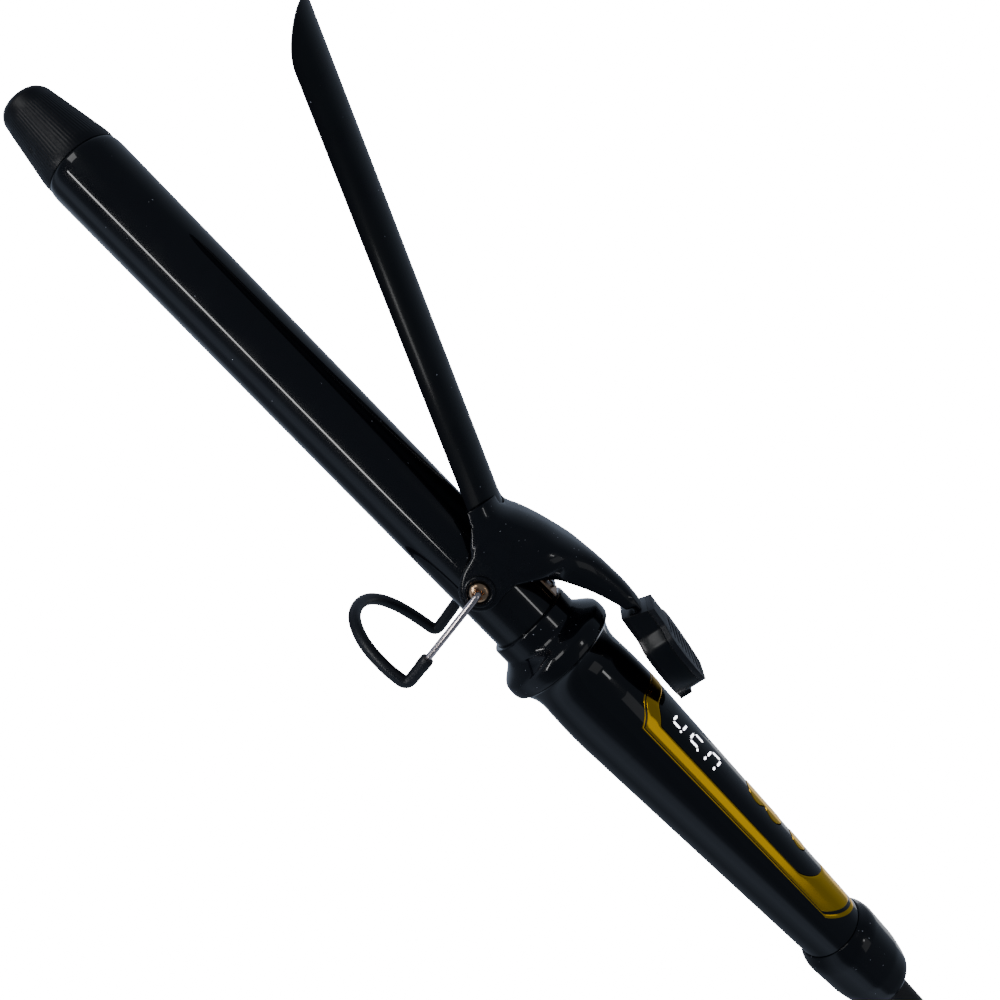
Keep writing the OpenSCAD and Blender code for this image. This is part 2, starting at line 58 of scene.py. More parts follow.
# ---------------------------------------------------------------- sizes, in millimetres
BARREL_R = 12.5
BARREL_END = 222
CLIP_OPEN = 23  # degrees from the closed clip
CLIP_L = 171
CLIP_WRAP = 68  # degrees on each side of the crown
CLIP_T = 0.8
HANDLE_R = 15.6
TAPER = 0.0429
DISPLAY_X = (260, 289)
DISPLAY_HALF = 7.3
DIGIT_Z = 12.3
ROCKER_X = 307.8
POWER_X = 325.2
CORD_D = 6


# ---------------------------------------------------------------- camera
CAMERA_AT = (144.3, -273.1, 82.6)
LOOKS_AT = (177.5, 0, 20.1)
CAMERA_ROLL = 47.6
LENS = 33.3


def make_camera():
    data = bpy.data.cameras.new("camera")
    data.lens = LENS
    data.sensor_width = 36
    data.clip_start = 0.01
    cam = bpy.data.objects.new("camera", data)
    bpy.context.scene.collection.objects.link(cam)
    look = (Vector(LOOKS_AT) - Vector(CAMERA_AT)).normalized()
    turn = look.to_track_quat("-Z", "Y").to_matrix().to_4x4()
    roll = Matrix.Rotation(math.radians(CAMERA_ROLL), 4, "Z")
    cam.matrix_world = PLACE @ Matrix.Translation(Vector(CAMERA_AT) * MM) @ turn @ roll
    bpy.context.scene.camera = cam


make_camera()


# ---------------------------------------------------------------- materials
def tinted(color, factor):
    return tuple(c * factor for c in color[:3]) + (1,)


def shader(name, color, rough, metal=0.0, coat=0.0, coat_rough=0.05, specular=0.5):
    """A principled material with its constants set on the shader itself."""
    mat = bpy.data.materials.new(name)
    mat.use_nodes = True
    bsdf = mat.node_tree.nodes["Principled BSDF"]
    bsdf.inputs["Base Color"].default_value = (*color, 1)
    bsdf.inputs["Roughness"].default_value = rough
    bsdf.inputs["Metallic"].default_value = metal
    bsdf.inputs["Coat Weight"].default_value = coat
    bsdf.inputs["Coat Roughness"].default_value = coat_rough
    bsdf.inputs["Specular IOR Level"].default_value = specular
    return mat, bsdf


def node(mat, kind, **values):
    n = mat.node_tree.nodes.new(kind)
    for key, value in values.items():
        setattr(n, key, value)
    return n


def link(mat, a, b):
    mat.node_tree.links.new(a, b)


def coordinates(mat, stretch=(1, 1, 1)):
    place = node(mat, "ShaderNodeTexCoord")
    scaled = node(mat, "ShaderNodeMapping")
    scaled.inputs["Scale"].default_value = stretch
    link(mat, place.outputs["Object"], scaled.inputs["Vector"])
    return scaled.outputs["Vector"]


def noise(mat, vector, scale, detail=4):
    n = node(mat, "ShaderNodeTexNoise")
    n.inputs["Scale"].default_value = scale
    n.inputs["Detail"].default_value = detail
    link(mat, vector, n.inputs["Vector"])
    return n.outputs["Fac"]


def ramp(mat, value, stops):
    n = node(mat, "ShaderNodeValToRGB")
    ends = n.color_ramp.elements
    ends[0].position, ends[0].color = stops[0]
    ends[1].position, ends[1].color = stops[-1]
    for position, color in stops[1:-1]:
        ends.new(position).color = color
    link(mat, value, n.inputs["Fac"])
    return n.outputs["Color"]


def spread(mat, value, low, high, from_low=0.3, from_high=0.7):
    n = node(mat, "ShaderNodeMapRange")
    n.inputs["From Min"].default_value = from_low
    n.inputs["From Max"].default_value = from_high
    n.inputs["To Min"].default_value = low
    n.inputs["To Max"].default_value = high
    link(mat, value, n.inputs["Value"])
    return n.outputs["Result"]


def bump(mat, bsdf, height, strength, distance=0.0002):
    n = node(mat, "ShaderNodeBump")
    n.inputs["Strength"].default_value = strength
    n.inputs["Distance"].default_value = distance
    link(mat, height, n.inputs["Height"])
    link(mat, n.outputs["Normal"], bsdf.inputs["Normal"])


def varied(name, color, rough, spread_by=0.04, grain=900, depth=0.04, shade=0.2, stretch=(1, 1, 1), **more):
    """Colour, roughness and surface grain that vary a little, as on a moulded or finished part."""
    mat, bsdf = shader(name, color, rough, **more)
    where = coordinates(mat, stretch)
    broad = noise(mat, where, grain / 12)
    fine = noise(mat, where, grain, 6)
    stops = [(0.3, tinted(color, 1 - shade)), (0.7, tinted(color, 1 + shade))]
    link(mat, ramp(mat, broad, stops), bsdf.inputs["Base Color"])
    link(mat, spread(mat, broad, max(rough - spread_by, 0.02), rough + spread_by), bsdf.inputs["Roughness"])
    bump(mat, bsdf, fine, depth)
    return mat


def glitter_and_painted_glints(name, color, rough, specks, amount, cluster=60, **more):
    """Gloss black with fine pale specks that gather in patches; the specks are painted glints, pale colour
    standing in for sparkles of light off the surface.
    """
    mat, bsdf = shader(name, color, rough, **more)
    where = coordinates(mat)
    dots = node(mat, "ShaderNodeTexVoronoi", feature="F1")
    dots.inputs["Scale"].default_value = specks
    link(mat, where, dots.inputs["Vector"])
    near = spread(mat, dots.outputs["Distance"], 1, 0, 0.05, 0.13)
    patches = spread(mat, noise(mat, where, cluster, 3), 0, 1, 0.46, 0.6)
    which = node(mat, "ShaderNodeSeparateColor")
    link(mat, dots.outputs["Color"], which.inputs["Color"])
    chosen = spread(mat, which.outputs["Red"], 0, 1, 1 - amount, 1.001 - amount)
    both = node(mat, "ShaderNodeMath", operation="MULTIPLY")
    link(mat, near, both.inputs[0])
    link(mat, chosen, both.inputs[1])
    all_three = node(mat, "ShaderNodeMath", operation="MULTIPLY")
    link(mat, both.outputs["Value"], all_three.inputs[0])
    link(mat, patches, all_three.inputs[1])
    # Painted glints: the specks take a pale colour in place of light glinting off the surface.
    stops = [(0, (*color, 1)), (1, (0.75, 0.78, 0.85, 1))]
    link(mat, ramp(mat, all_three.outputs["Value"], stops), bsdf.inputs["Base Color"])
    broad = noise(mat, where, 90)
    link(mat, spread(mat, broad, rough * 0.7, rough * 1.4), bsdf.inputs["Roughness"])
    bump(mat, bsdf, noise(mat, where, 700, 5), 0.03)
    return mat


BLACK = (0.0026, 0.003, 0.0056)
# These four materials carry painted glints: pale specks in their colour that stand in for sparkles of
# light.
barrel_coat = glitter_and_painted_glints(
    "barrel_coat", (0.0028, 0.003, 0.0052), 0.25, 620, 0.06, coat=0.95, coat_rough=0.03, specular=0.12
)
clip_coat = glitter_and_painted_glints(
    "clip_coat", (0.0032, 0.0036, 0.006), 0.32, 560, 0.1, coat=0.5, coat_rough=0.14, specular=0.2
)
saddle_plastic = glitter_and_painted_glints(
    "saddle_plastic", (0.0035, 0.004, 0.007), 0.26, 640, 0.6, coat=0.7, coat_rough=0.07, specular=0.2
)
guard_plastic = glitter_and_painted_glints(
    "guard_plastic", BLACK, 0.22, 600, 0.7, cluster=90, coat=0.8, coat_rough=0.05, specular=0.15
)
tip_plastic = varied("tip_plastic", (0.004, 0.0045, 0.0072), 0.4, grain=1500, depth=0.1, specular=0.45)
pad_plastic = varied(
    "pad_plastic", (0.004, 0.0045, 0.0072), 0.32, grain=1200, depth=0.08, coat=0.4, coat_rough=0.12,
    specular=0.3,
)
handle_plastic = varied(
    "handle_plastic", BLACK, 0.2, 0.03, grain=260, depth=0.01, coat=0.95, coat_rough=0.02, specular=0.1
)
panel_plastic = varied(
    "panel_plastic", BLACK, 0.22, 0.03, grain=240, depth=0.01, coat=0.9, coat_rough=0.03, specular=0.1
)
lens_smoke = varied(
    "lens_smoke", BLACK, 0.22, 0.03, grain=240, depth=0.006, coat=0.9, coat_rough=0.03, specular=0.1
)
gold = varied(
    "gold", (1.0, 0.56, 0.008), 0.14, 0.04, grain=300, depth=0.02, shade=0.06, metal=1.0
)
# The pad's cap: its rougher finish is its own, but its lighter colour is painted light, standing in for the
# light that falls on the top face.
pad_top_painted_light = varied("pad_top_painted_light", (0.012, 0.0135, 0.019), 0.45, grain=1200, depth=0.1, specular=0.6)
display_black = varied("display_black", (0.012, 0.012, 0.014), 0.35, grain=800)
board_green = varied("board_green", (0.03, 0.16, 0.06), 0.4, grain=600)
ceramic_white = varied("ceramic_white", (0.8, 0.79, 0.74), 0.5, grain=900)
spreader_metal = varied(
    "spreader_metal", (0.7, 0.71, 0.73), 0.35, grain=700, stretch=(0.03, 1, 1), metal=1.0
)
steel = varied("steel", (0.62, 0.62, 0.63), 0.26, grain=1200, shade=0.1, metal=1.0)
screw_nickel = varied("screw_nickel", (0.78, 0.5, 0.3), 0.24, grain=1400, shade=0.12, metal=1.0)
wire_chrome = varied(
    "wire_chrome", (0.93, 0.8, 0.78), 0.2, grain=300, depth=0.0, shade=0.06, metal=1.0
)
spring_bronze = varied("spring_bronze", (0.62, 0.4, 0.24), 0.3, grain=900, shade=0.15, metal=1.0)
contact_brass = varied("contact_brass", (0.8, 0.6, 0.28), 0.28, grain=900, metal=1.0)
sleeve_rubber = varied("sleeve_rubber", (0.009, 0.01, 0.014), 0.42, grain=1500, depth=0.1)
boot_rubber = varied("boot_rubber", (0.028, 0.023, 0.022), 0.5, grain=1300, depth=0.15)
cord_pvc = varied("cord_pvc", (0.014, 0.014, 0.015), 0.45, grain=1200, depth=0.12)
plug_plastic = varied("plug_plastic", (0.016, 0.016, 0.018), 0.48, grain=1300, depth=0.15)
tie_web = varied("tie_web", (0.014, 0.014, 0.016), 0.8, grain=2500, depth=0.5)
insulation = varied("insulation", (0.78, 0.77, 0.72), 0.55, grain=900)


def lit_segment():
    mat, bsdf = shader("lit_segment", (0.9, 0.9, 0.95), 0.4)
    where = coordinates(mat)
    glow = ramp(mat, noise(mat, where, 500), [(0.3, (0.85, 0.84, 0.95, 1)), (0.7, (1, 1, 1, 1))])
    link(mat, glow, bsdf.inputs["Emission Color"])
    bsdf.inputs["Emission Strength"].default_value = 6
    return mat


# ---------------------------------------------------------------- shape helpers
def finished(name, mesh, body, material, stands_for=(), placed=True, sharp=32):
    """Puts a mesh in the scene as a piece that rides on a body."""
    obj = bpy.data.objects.new(name, mesh)
    bpy.context.scene.collection.objects.link(obj)
    if placed:
        obj.matrix_world = PLACE
    mesh.materials.append(material)
    mesh.shade_smooth()
    if sharp:
        mesh.set_sharp_from_angle(angle=math.radians(sharp))
    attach(obj, body)
    if stands_for:
        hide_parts(*stands_for)
    return obj


def mesh_of(name, points, faces):
    """A mesh from points in millimetres, with its doubled points merged and its normals outward."""
    mesh = bpy.data.meshes.new(name)
    mesh.from_pydata([Vector(p) * MM for p in points], [], faces)
    bm = bmesh.new()
    bm.from_mesh(mesh)
    bmesh.ops.remove_doubles(bm, verts=bm.verts, dist=1e-6)
    bmesh.ops.dissolve_degenerate(bm, dist=1e-7, edges=bm.edges)
    bmesh.ops.recalc_face_normals(bm, faces=bm.faces)
    bm.to_mesh(mesh)
    bm.free()
    return mesh


def joined(name, meshes):
    """One mesh of several."""
    bm = bmesh.new()
    for m in meshes:
        bm.from_mesh(m)
    mesh = bpy.data.meshes.new(name)
    bm.to_mesh(mesh)
    bm.free()
    return mesh


def moved(mesh, matrix):
    mesh.transform(matrix)
    return mesh


def rounded(corners, steps=5):
    """Points of a path through (a, b) or (a, b, fillet) corners, each fillet an arc-like curve."""
    out = []
    for i, corner in enumerate(corners):
        p = Vector(corner[:2])
        fillet = corner[2] if len(corner) > 2 else 0
        if not fillet or i in (0, len(corners) - 1):
            out.append(tuple(p))
            continue
        before, after = Vector(corners[i - 1][:2]) - p, Vector(corners[i + 1][:2]) - p
        cut = min(fillet, before.length * 0.49, after.length * 0.49)
        a, b = p + before.normalized() * cut, p + after.normalized() * cut
        for k in range(steps + 1):
            t = k / steps
            out.append(tuple(a * (1 - t) ** 2 + 2 * p * t * (1 - t) + b * t**2))
    return out


def lofted(name, rings, closed_ends=True):
    """A skin over rings of the same count of points."""
    count = len(rings[0])
    points = [p for ring in rings for p in ring]
    faces = []
    for j in range(len(rings) - 1):
        for i in range(count):
            a, b = j * count + i, j * count + (i + 1) % count
            faces.append((a, b, b + count, a + count))
    if closed_ends:
        faces.append(tuple(range(count)))
        faces.append(tuple((len(rings) - 1) * count + i for i in range(count)))
    return mesh_of(name, points, faces)


def turned(name, outline, sides=160, ripple=None):
    """A lathe shape round the iron's axis from a closed outline of (x, radius) points."""
    rings = []
    for k in range(sides):
        a = 2 * math.pi * k / sides
        ring = []
        for x, r in outline:
            r = r + ripple(x, a) if ripple and r > 0 else r
            ring.append((x, r * math.sin(a), r * math.cos(a)))
        rings.append(ring)
    count = len(outline)
    points = [p for ring in rings for p in ring]
    faces = []
    for k in range(sides):
        for i in range(count):
            a, b = k * count + i, k * count + (i + 1) % count
            c, d = (b + count) % (sides * count), (a + count) % (sides * count)
            faces.append((a, b, c, d))
    return mesh_of(name, points, faces)


def side_lathe(name, outline, sides=64):
    """A lathe shape round an axis along y, from (y, radius) points."""
    mesh = turned(name, outline, sides)
    return moved(mesh, Matrix.Rotation(math.radians(90), 4, "Z"))


def eased(p0, p1, p2, p3, t):
    """The Catmull-Rom value between p1 and p2; numbers or vectors."""
    square, cube = 2 * p0 - 5 * p1 + 4 * p2 - p3, 3 * p1 - p0 - 3 * p2 + p3
    return 0.5 * (2 * p1 + (p2 - p0) * t + square * t**2 + cube * t**3)


def smooth_line(points, spacing):
    """A Catmull-Rom curve through points, sampled about every spacing."""
    pts = [Vector(p) for p in points]
    pts = [2 * pts[0] - pts[1], *pts, 2 * pts[-1] - pts[-2]]
    out = []
    for i in range(1, len(pts) - 2):
        p0, p1, p2, p3 = pts[i - 1 : i + 3]
        steps = max(1, round((p2 - p1).length / spacing))
        for k in range(steps):
            t = k / steps
            out.append(eased(p0, p1, p2, p3, t))
    out.append(pts[-2])
    return out


def tube(name, line, radius, sides=20):
    """A round tube along a line; radius is a number or a function of the share of the length."""
    total = sum((b - a).length for a, b in zip(line, line[1:]))
    size = radius if callable(radius) else lambda share: radius
    rings, gone, side = [], 0, None
    for i, p in enumerate(line):
        way = (line[min(i + 1, len(line) - 1)] - line[max(i - 1, 0)]).normalized()
        if side is None:
            side = way.orthogonal()
        side = (side - side.dot(way) * way).normalized()
        up = way.cross(side)
        r = size(gone / total)
        turns = [2 * math.pi * k / sides for k in range(sides)]
        rings.append([p + r * (math.cos(t) * side + math.sin(t) * up) for t in turns])
        if i + 1 < len(line):
            gone += (line[i + 1] - p).length
    return lofted(name, rings)


def extruded(name, outline, y0, y1):
    """An (x, z) outline drawn out along y."""
    front = [(x, y0, z) for x, z in outline]
    back = [(x, y1, z) for x, z in outline]
    return lofted(name, [front, back])


def block(name, x, y, z):
    return extruded(name, [(x[0], z[0]), (x[1], z[0]), (x[1], z[1]), (x[0], z[1])], *y)


def bevelled(obj, width, segments=3, angle=30):
    mod = obj.modifiers.new("edge", "BEVEL")
    mod.width = width * MM
    mod.segments = segments
    mod.limit_method = "ANGLE"
    mod.angle_limit = math.radians(angle)
    mod.harden_normals = True
    return obj


def applied(mesh, *steps):
    """The mesh after modifiers, each given as (kind, settings, other mesh or None)."""
    obj = bpy.data.objects.new("work", mesh)
    bpy.context.scene.collection.objects.link(obj)
    others = []
    for kind, settings, other in steps:
        mod = obj.modifiers.new(kind, kind)
        if other is not None:
            helper = bpy.data.objects.new("helper", other)
            bpy.context.scene.collection.objects.link(helper)
            mod.object = helper
            mod.solver = "EXACT"
            others.append(helper)
        for key, value in settings.items():
            setattr(mod, key, value)
    shape = obj.evaluated_get(bpy.context.evaluated_depsgraph_get())
    result = bpy.data.meshes.new_from_object(shape)
    for o in (obj, *others):
        bpy.data.objects.remove(o)
    return result


def soft_edges(width, segments, angle):
    """A bevel step for applied, on edges sharper than an angle in degrees."""
    settings = {"width": width * MM, "segments": segments, "limit_method": "ANGLE",
                "angle_limit": math.radians(angle)}
    return "BEVEL", settings, None


def cut(mesh, *cutters):
    return applied(mesh, *[("BOOLEAN", {"operation": "DIFFERENCE"}, c) for c in cutters])


def added(mesh, *more):
    return applied(mesh, *[("BOOLEAN", {"operation": "UNION"}, m) for m in more])


def round_normals(obj, radius_at, tolerance=0.35):
    """Gives faces that lie on a turned surface that surface's own normals, so gloss runs evenly."""
    mesh = obj.data
    wanted = []
    flat = [tuple(n.vector) for n in mesh.corner_normals]
    for face in mesh.polygons:
        for li in face.loop_indices:
            x, y, z = (c / MM for c in mesh.vertices[mesh.loops[li].vertex_index].co)
            r = math.hypot(y, z)
            normal = flat[li]
            if r > 1 and abs(r - radius_at(x)) < tolerance:
                slope = (radius_at(x + 0.5) - radius_at(x - 0.5)) / 1.0
                n = Vector((-slope, y / r, z / r)).normalized()
                if n.dot(face.normal) > 0.9:
                    normal = tuple(n)
            wanted.append(normal)
    mesh.normals_split_custom_set(wanted)


def opened(mesh):
    """Turns a clip mesh from its closed place to its open one."""
    there = Matrix.Translation((PIVOT_X * MM, 0, 0))
    turn = Matrix.Rotation(math.radians(CLIP_OPEN), 4, "Y")
    return moved(mesh, there @ turn @ there.inverted())


# ---------------------------------------------------------------- the cord
# The cord's way from the boot to the hank, in metres in the row frame
ROUTE = [
    (0.2052, 0, 0.007), (0.2125, 0, 0.0061), (0.220, 0, 0.0052), (0.228, -0.0003, 0.0045),
    (0.237, -0.0016, 0.0041), (0.246, -0.0041, 0.004), (0.255, -0.0076, 0.004),
    (0.264, -0.0116, 0.004), (0.273, -0.0156, 0.004), (0.282, -0.0191, 0.004),
    (0.291, -0.022, 0.004), (0.301, -0.024, 0.004), (0.3118, -0.0247, 0.004),
]
HANK_X = 0.312
HANK_RUN = 0.103
HANK_IN = 0.0185
HANK_GAP = 0.0062
PLUG_X = 0.384
PLUG_Z = 0.0082


def hank_turns():
    """The folded cord: three layers of two turns each, wound in, out and in again."""
    far = HANK_X + HANK_RUN
    wide, tight = HANK_IN + HANK_GAP, HANK_IN
    halves = [wide, tight, tight, wide, wide, tight]
    nexts = [tight, tight, wide, wide, tight, tight]
    out = []
    for i, (r, r_next) in enumerate(zip(halves, nexts)):
        layer = (i // 2) * HANK_GAP + ROUTE[-1][2]
        for k in range(1, 6):
            out.append((HANK_X + HANK_RUN * k / 6, -r, layer))
        for k in range(9):
            a = math.pi * k / 8
            out.append((far + r * math.sin(a), -r * math.cos(a), layer))
        for k in range(1, 6):
            out.append((far - HANK_RUN * k / 6, r, layer))
        middle, half = (r - r_next) / 2, (r + r_next) / 2
        climb = HANK_GAP if i in (1, 3) else 0
        for k in range(9):
            a = math.pi * k / 8
            rise = climb * (0.5 - 0.5 * math.cos(a))
            out.append((HANK_X - half * math.sin(a), middle + half * math.cos(a), layer + rise))
    return out


def tail_to_plug(start):
    """From the last fold down to the plug that lies in the hank's middle."""
    x0, y0, z0 = start
    x1 = PLUG_X - 0.013
    out = []
    for k in range(1, 9):
        t = k / 8
        late = max(0, (t - 0.25) / 0.75)
        ease, drop = (v * v * (3 - 2 * v) for v in (t, late))
        out.append((x0 + (x1 - x0) * t, y0 * (1 - ease), z0 + (PLUG_Z - z0) * drop))
    return out


def make_cord():
    turns = hank_turns()
    points = ROUTE + turns + tail_to_plug(turns[-1])
    curve = bpy.data.curves.new("power_cord_line", "CURVE")
    curve.dimensions = "3D"
    line = curve.splines.new("BEZIER")
    line.bezier_points.add(len(points) - 1)
    for p, co in zip(line.bezier_points, points):
        p.co = co
        p.handle_left_type = p.handle_right_type = "AUTO"
    curve.resolution_u = 5
    curve.bevel_depth = CORD_D / 2 * MM
    curve.bevel_resolution = 5
    curve.use_fill_caps = True
    curve.materials.append(cord_pvc)
    cord = bpy.data.objects.new("power_cord_flex", curve)
    bpy.context.scene.collection.objects.link(cord)
    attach(cord, "root")
    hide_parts("power_cord", "cord_hank")
    return cord, sum((Vector(b) - Vector(a)).length for a, b in zip(points, points[1:]))


def superellipse_ring(x, half_y, half_z, power=2.6, count=40):
    ring = []
    for k in range(count):
        a = 2 * math.pi * k / count
        c, s = math.cos(a), math.sin(a)
        y = math.copysign(abs(c) ** (2 / power), c) * half_y
        z = math.copysign(abs(s) ** (2 / power), s) * half_z
        ring.append((x, y, z))
    return ring


def make_plug():
    """Moulded plug: a ribbed sleeve, a waisted grip and a flat face with two blades."""
    stations = [
        (14, 3.3, 3.3), (12, 3.5, 3.5), (9, 3.9, 3.8), (5, 4.6, 4.3), (2, 5.2, 4.7),
        (-1, 6.2, 5.2), (-4, 8.2, 6.1), (-7, 10, 7), (-9.5, 10.9, 7.4), (-12, 10.4, 6.9),
        (-15, 10.3, 6.8), (-18, 10.6, 7.1), (-21, 11, 7.5), (-23.3, 11, 7.5), (-24, 10.4, 6.9),
    ]
    fine = smooth_line(stations, 1.0)
    rings = []
    for s in fine:
        x, half_y, half_z = s
        if 3 < x < 13:
            groove = 0.35 * max(0, math.sin(x * 2.1)) ** 2
            half_y, half_z = half_y - groove, half_z - groove
        power = 2 if x > 2 else 3.2
        rings.append(superellipse_ring(x, half_y, half_z, power))
    body = lofted("plug_moulding", rings)
    at = Matrix.Translation((PLUG_X, 0, PLUG_Z)) @ Matrix.Rotation(math.pi, 4, "Z")
    plug = finished("plug_moulding", moved(body, at), "root", plug_plastic,
                    ["plug_body"], placed=False, sharp=50)
    blades = []
    for side in (-1, 1):
        y = 6.35 * side
        blade = block("blade", (-41.4, -24), (y - 0.75, y + 0.75), (-3.2, 3.2))
        blade = cut(blade, hole_along_y(-37.5, y))
        blades.append(moved(blade, at))
    pins = finished("plug_pins", joined("plug_pins", blades), "root", steel,
                    ["plug_blades"], placed=False)
    bevelled(pins, 0.35, 2)
    return plug, pins


def hole_along_y(x, y, r=1.5):
    """A cutter for the hole near the end of a plug blade."""
    mesh = side_lathe("hole", [(y - 3, 0), (y - 3, r), (y + 3, r), (y + 3, 0)], 32)
    return moved(mesh, Matrix.Translation((x * MM, 0, 0)))


def band_outline(left, right, bottom, top, fillet, middle):
    """A closed round-cornered rectangle of (y, z) points that starts in the middle of its bottom."""
    return rounded([(middle, bottom), (right, bottom, fillet), (right, top, fillet),
                    (left, top, fillet), (left, bottom, fillet), (middle, bottom)])


def make_ties():
    """Two webbing ties, each a band round one side of the hank."""
    parts = []
    thick = 0.8
    low, high = (HANK_IN / MM - 3.1), ((HANK_IN + HANK_GAP) / MM + 3.1)
    mid_x = (HANK_X + HANK_RUN / 2) / MM
    bottom, top = 1.0, 1.0 + 2 * HANK_GAP / MM + CORD_D
    for side in (-1, 1):
        a, b = (low, high) if side > 0 else (-high, -low)
        outer = band_outline(a - thick, b + thick, bottom - thick, top + thick, 2.4, (a + b) / 2)
        inner = band_outline(a, b, bottom, top, 2.2, (a + b) / 2)
        rings = [
            [(mid_x + x, y, z) for y, z in loop[:-1]]
            for x, loop in ((-4, outer), (4, outer), (4, inner), (-4, inner), (-4, outer))
        ]
        parts.append(lofted("tie", rings, closed_ends=False))
    ties = finished("hank_ties", joined("hank_ties", parts), "root", tie_web,
                    ["cord_ties"], placed=False)
    return ties


cord, cord_length = make_cord()
plug, pins = make_plug()
ties = make_ties()


# ---------------------------------------------------------------- barrel and cool tip
def make_barrel():
    outline = [
        (23.5, 11.7), (23.5, 11.95), (23.7, 12.1), (24.3, 12.28), (25.2, 12.42), (26.5, 12.5),
        *[(x, 12.5) for x in range(34, BARREL_END, 8)], (BARREL_END, 12.5), (BARREL_END, 11.7),
    ]
    finished("barrel_shell", turned("barrel", outline, 192), "root", barrel_coat,
             ["barrel_tube"])


def tip_relief(x, a):
    """Fine lengthwise ribs, and one small dimple on the near side."""
    fade = min(1, max(0, (x - 4) / 1.5), max(0, (21.8 - x) / 0.8))
    rib = 0.04 * fade * math.cos(72 * a)
    away = math.hypot(x - 14.2, 10.3 * (a - math.radians(-118)))
    a_wrapped = 10.3 * (a - math.radians(242))
    away = min(away, math.hypot(x - 14.2, a_wrapped))
    return rib - 0.45 * math.exp(-((away / 0.75) ** 2))


def make_tip():
    front = rounded([(0.5, 0), (0, 2), (0, 7.1, 0.5), (1.5, 8.3, 0.8), (3.5, 8.65), (4.2, 8.8)], 6)
    side = [(4.2 + k * 0.5, 8.8 + (11.75 - 8.8) * k * 0.5 / 15.3) for k in range(1, 31)]
    rear = [(20.2, 11.9), (21.4, 12.04), (22.6, 12.05), (23.2, 12.0), (23.4, 11.7), (23.4, 11.5),
            (28, 11.5), (28, 6.2), (6, 6.2), (6, 0)]
    finished("cool_tip_cap", turned("tip", front + side + rear, 576, tip_relief), "root",
             tip_plastic, ["cool_tip"])


# ---------------------------------------------------------------- clip
def make_blade():
    """The curved sheet of the clip with its round nose, and its two rivets."""
    nose_x, rear_x = PIVOT_X - CLIP_L, PIVOT_X - 18
    inner, outer = BARREL_R + 0.3, BARREL_R + 0.3 + CLIP_T
    wrap = math.radians(CLIP_WRAP)
    widest = outer * math.sin(wrap)
    stations = []
    for a in range(3, 91, 3):
        t = math.radians(a)
        stations.append((nose_x + 20 * (1 - math.cos(t)), math.asin(widest * math.sin(t) / outer)))
    x = nose_x + 24
    while x < rear_x - 2:
        stations.append((x, wrap))
        x += 4
    stations.append((rear_x, wrap))
    rings = []
    for x, half in stations:
        ring = []
        for r, way in ((outer, 1), (inner, -1)):
            for k in range(37):
                a = way * half * (2 * k / 36 - 1)
                ring.append((x, r * math.sin(a), r * math.cos(a)))
        rings.append(ring)
    mesh = applied(opened(lofted("blade", rings)),
                   ("BEVEL", {"width": 0.22 * MM, "segments": 3, "angle_limit": math.radians(50)}, None))
    finished("clip_blade_sheet", mesh, "clip", clip_coat, ["clip_blade"], sharp=60)
    rivets = []
    for side in (-1, 1):
        head = [(12.65, 0), (12.65, 1.15), (13.65, 1.15), (13.9, 0.85), (14.0, 0)]
        dome = moved(turned("rivet", head, 32), Matrix.Rotation(math.radians(-90), 4, "Y"))
        there = Matrix.Rotation(math.radians(-side * 24), 4, "X")
        there = Matrix.Translation(((PIVOT_X - 19.5) * MM, 0, 0)) @ there
        rivets.append(opened(moved(dome, there)))
    finished("clip_blade_rivets", joined("rivets", rivets), "clip", steel, ["blade_rivets"])


# Sections of the saddle and lever: crown and foot as (x, z), then half width
SADDLE = [
    ((174.6, 21.6), (171.8, 13.2), 13.3), ((178.4, 20.6), (176.4, 10.5), 14.1),
    ((183, 22.9), (181.5, 6), 15.6), ((188.5, 25.1), (187.5, 4), 16),
    ((193, 26.5), (192.6, 4), 16), ((197, 27.5), (197.3, 9), 15.9),
    ((201, 28.5), (201.6, 14.6), 13.6), ((206, 29.4), (206, 17.6), 9.6),
    ((211, 30.1), (210.6, 19.5), 7.4), ((217, 30.5), (216.4, 22), 6.2),
    ((223, 30.7), (222.5, 24), 5.4), ((229.9, 30.2), (228.4, 25.6), 4.9),
]
EAR = [
    (180, 12), (182.6, 5), (184.6, -1), (187.6, -5), (191.5, -6.6), (195.4, -5.4),
    (197.8, -2.2), (198.2, 1.5), (197.4, 6), (197.6, 12),
]


def arch(crown, foot, half):
    """A section of the saddle: a squarish arch from foot to foot over the crown."""
    ring = []
    for i in range(49):
        a = math.pi * i / 48
        up = math.sin(a) ** 0.75 if i not in (0, 48) else 0
        c = math.cos(a)
        side = math.copysign(abs(c) ** 0.75, c)
        ring.append((foot[0] + (crown[0] - foot[0]) * up, half * side, foot[1] + (crown[1] - foot[1]) * up))
    return ring


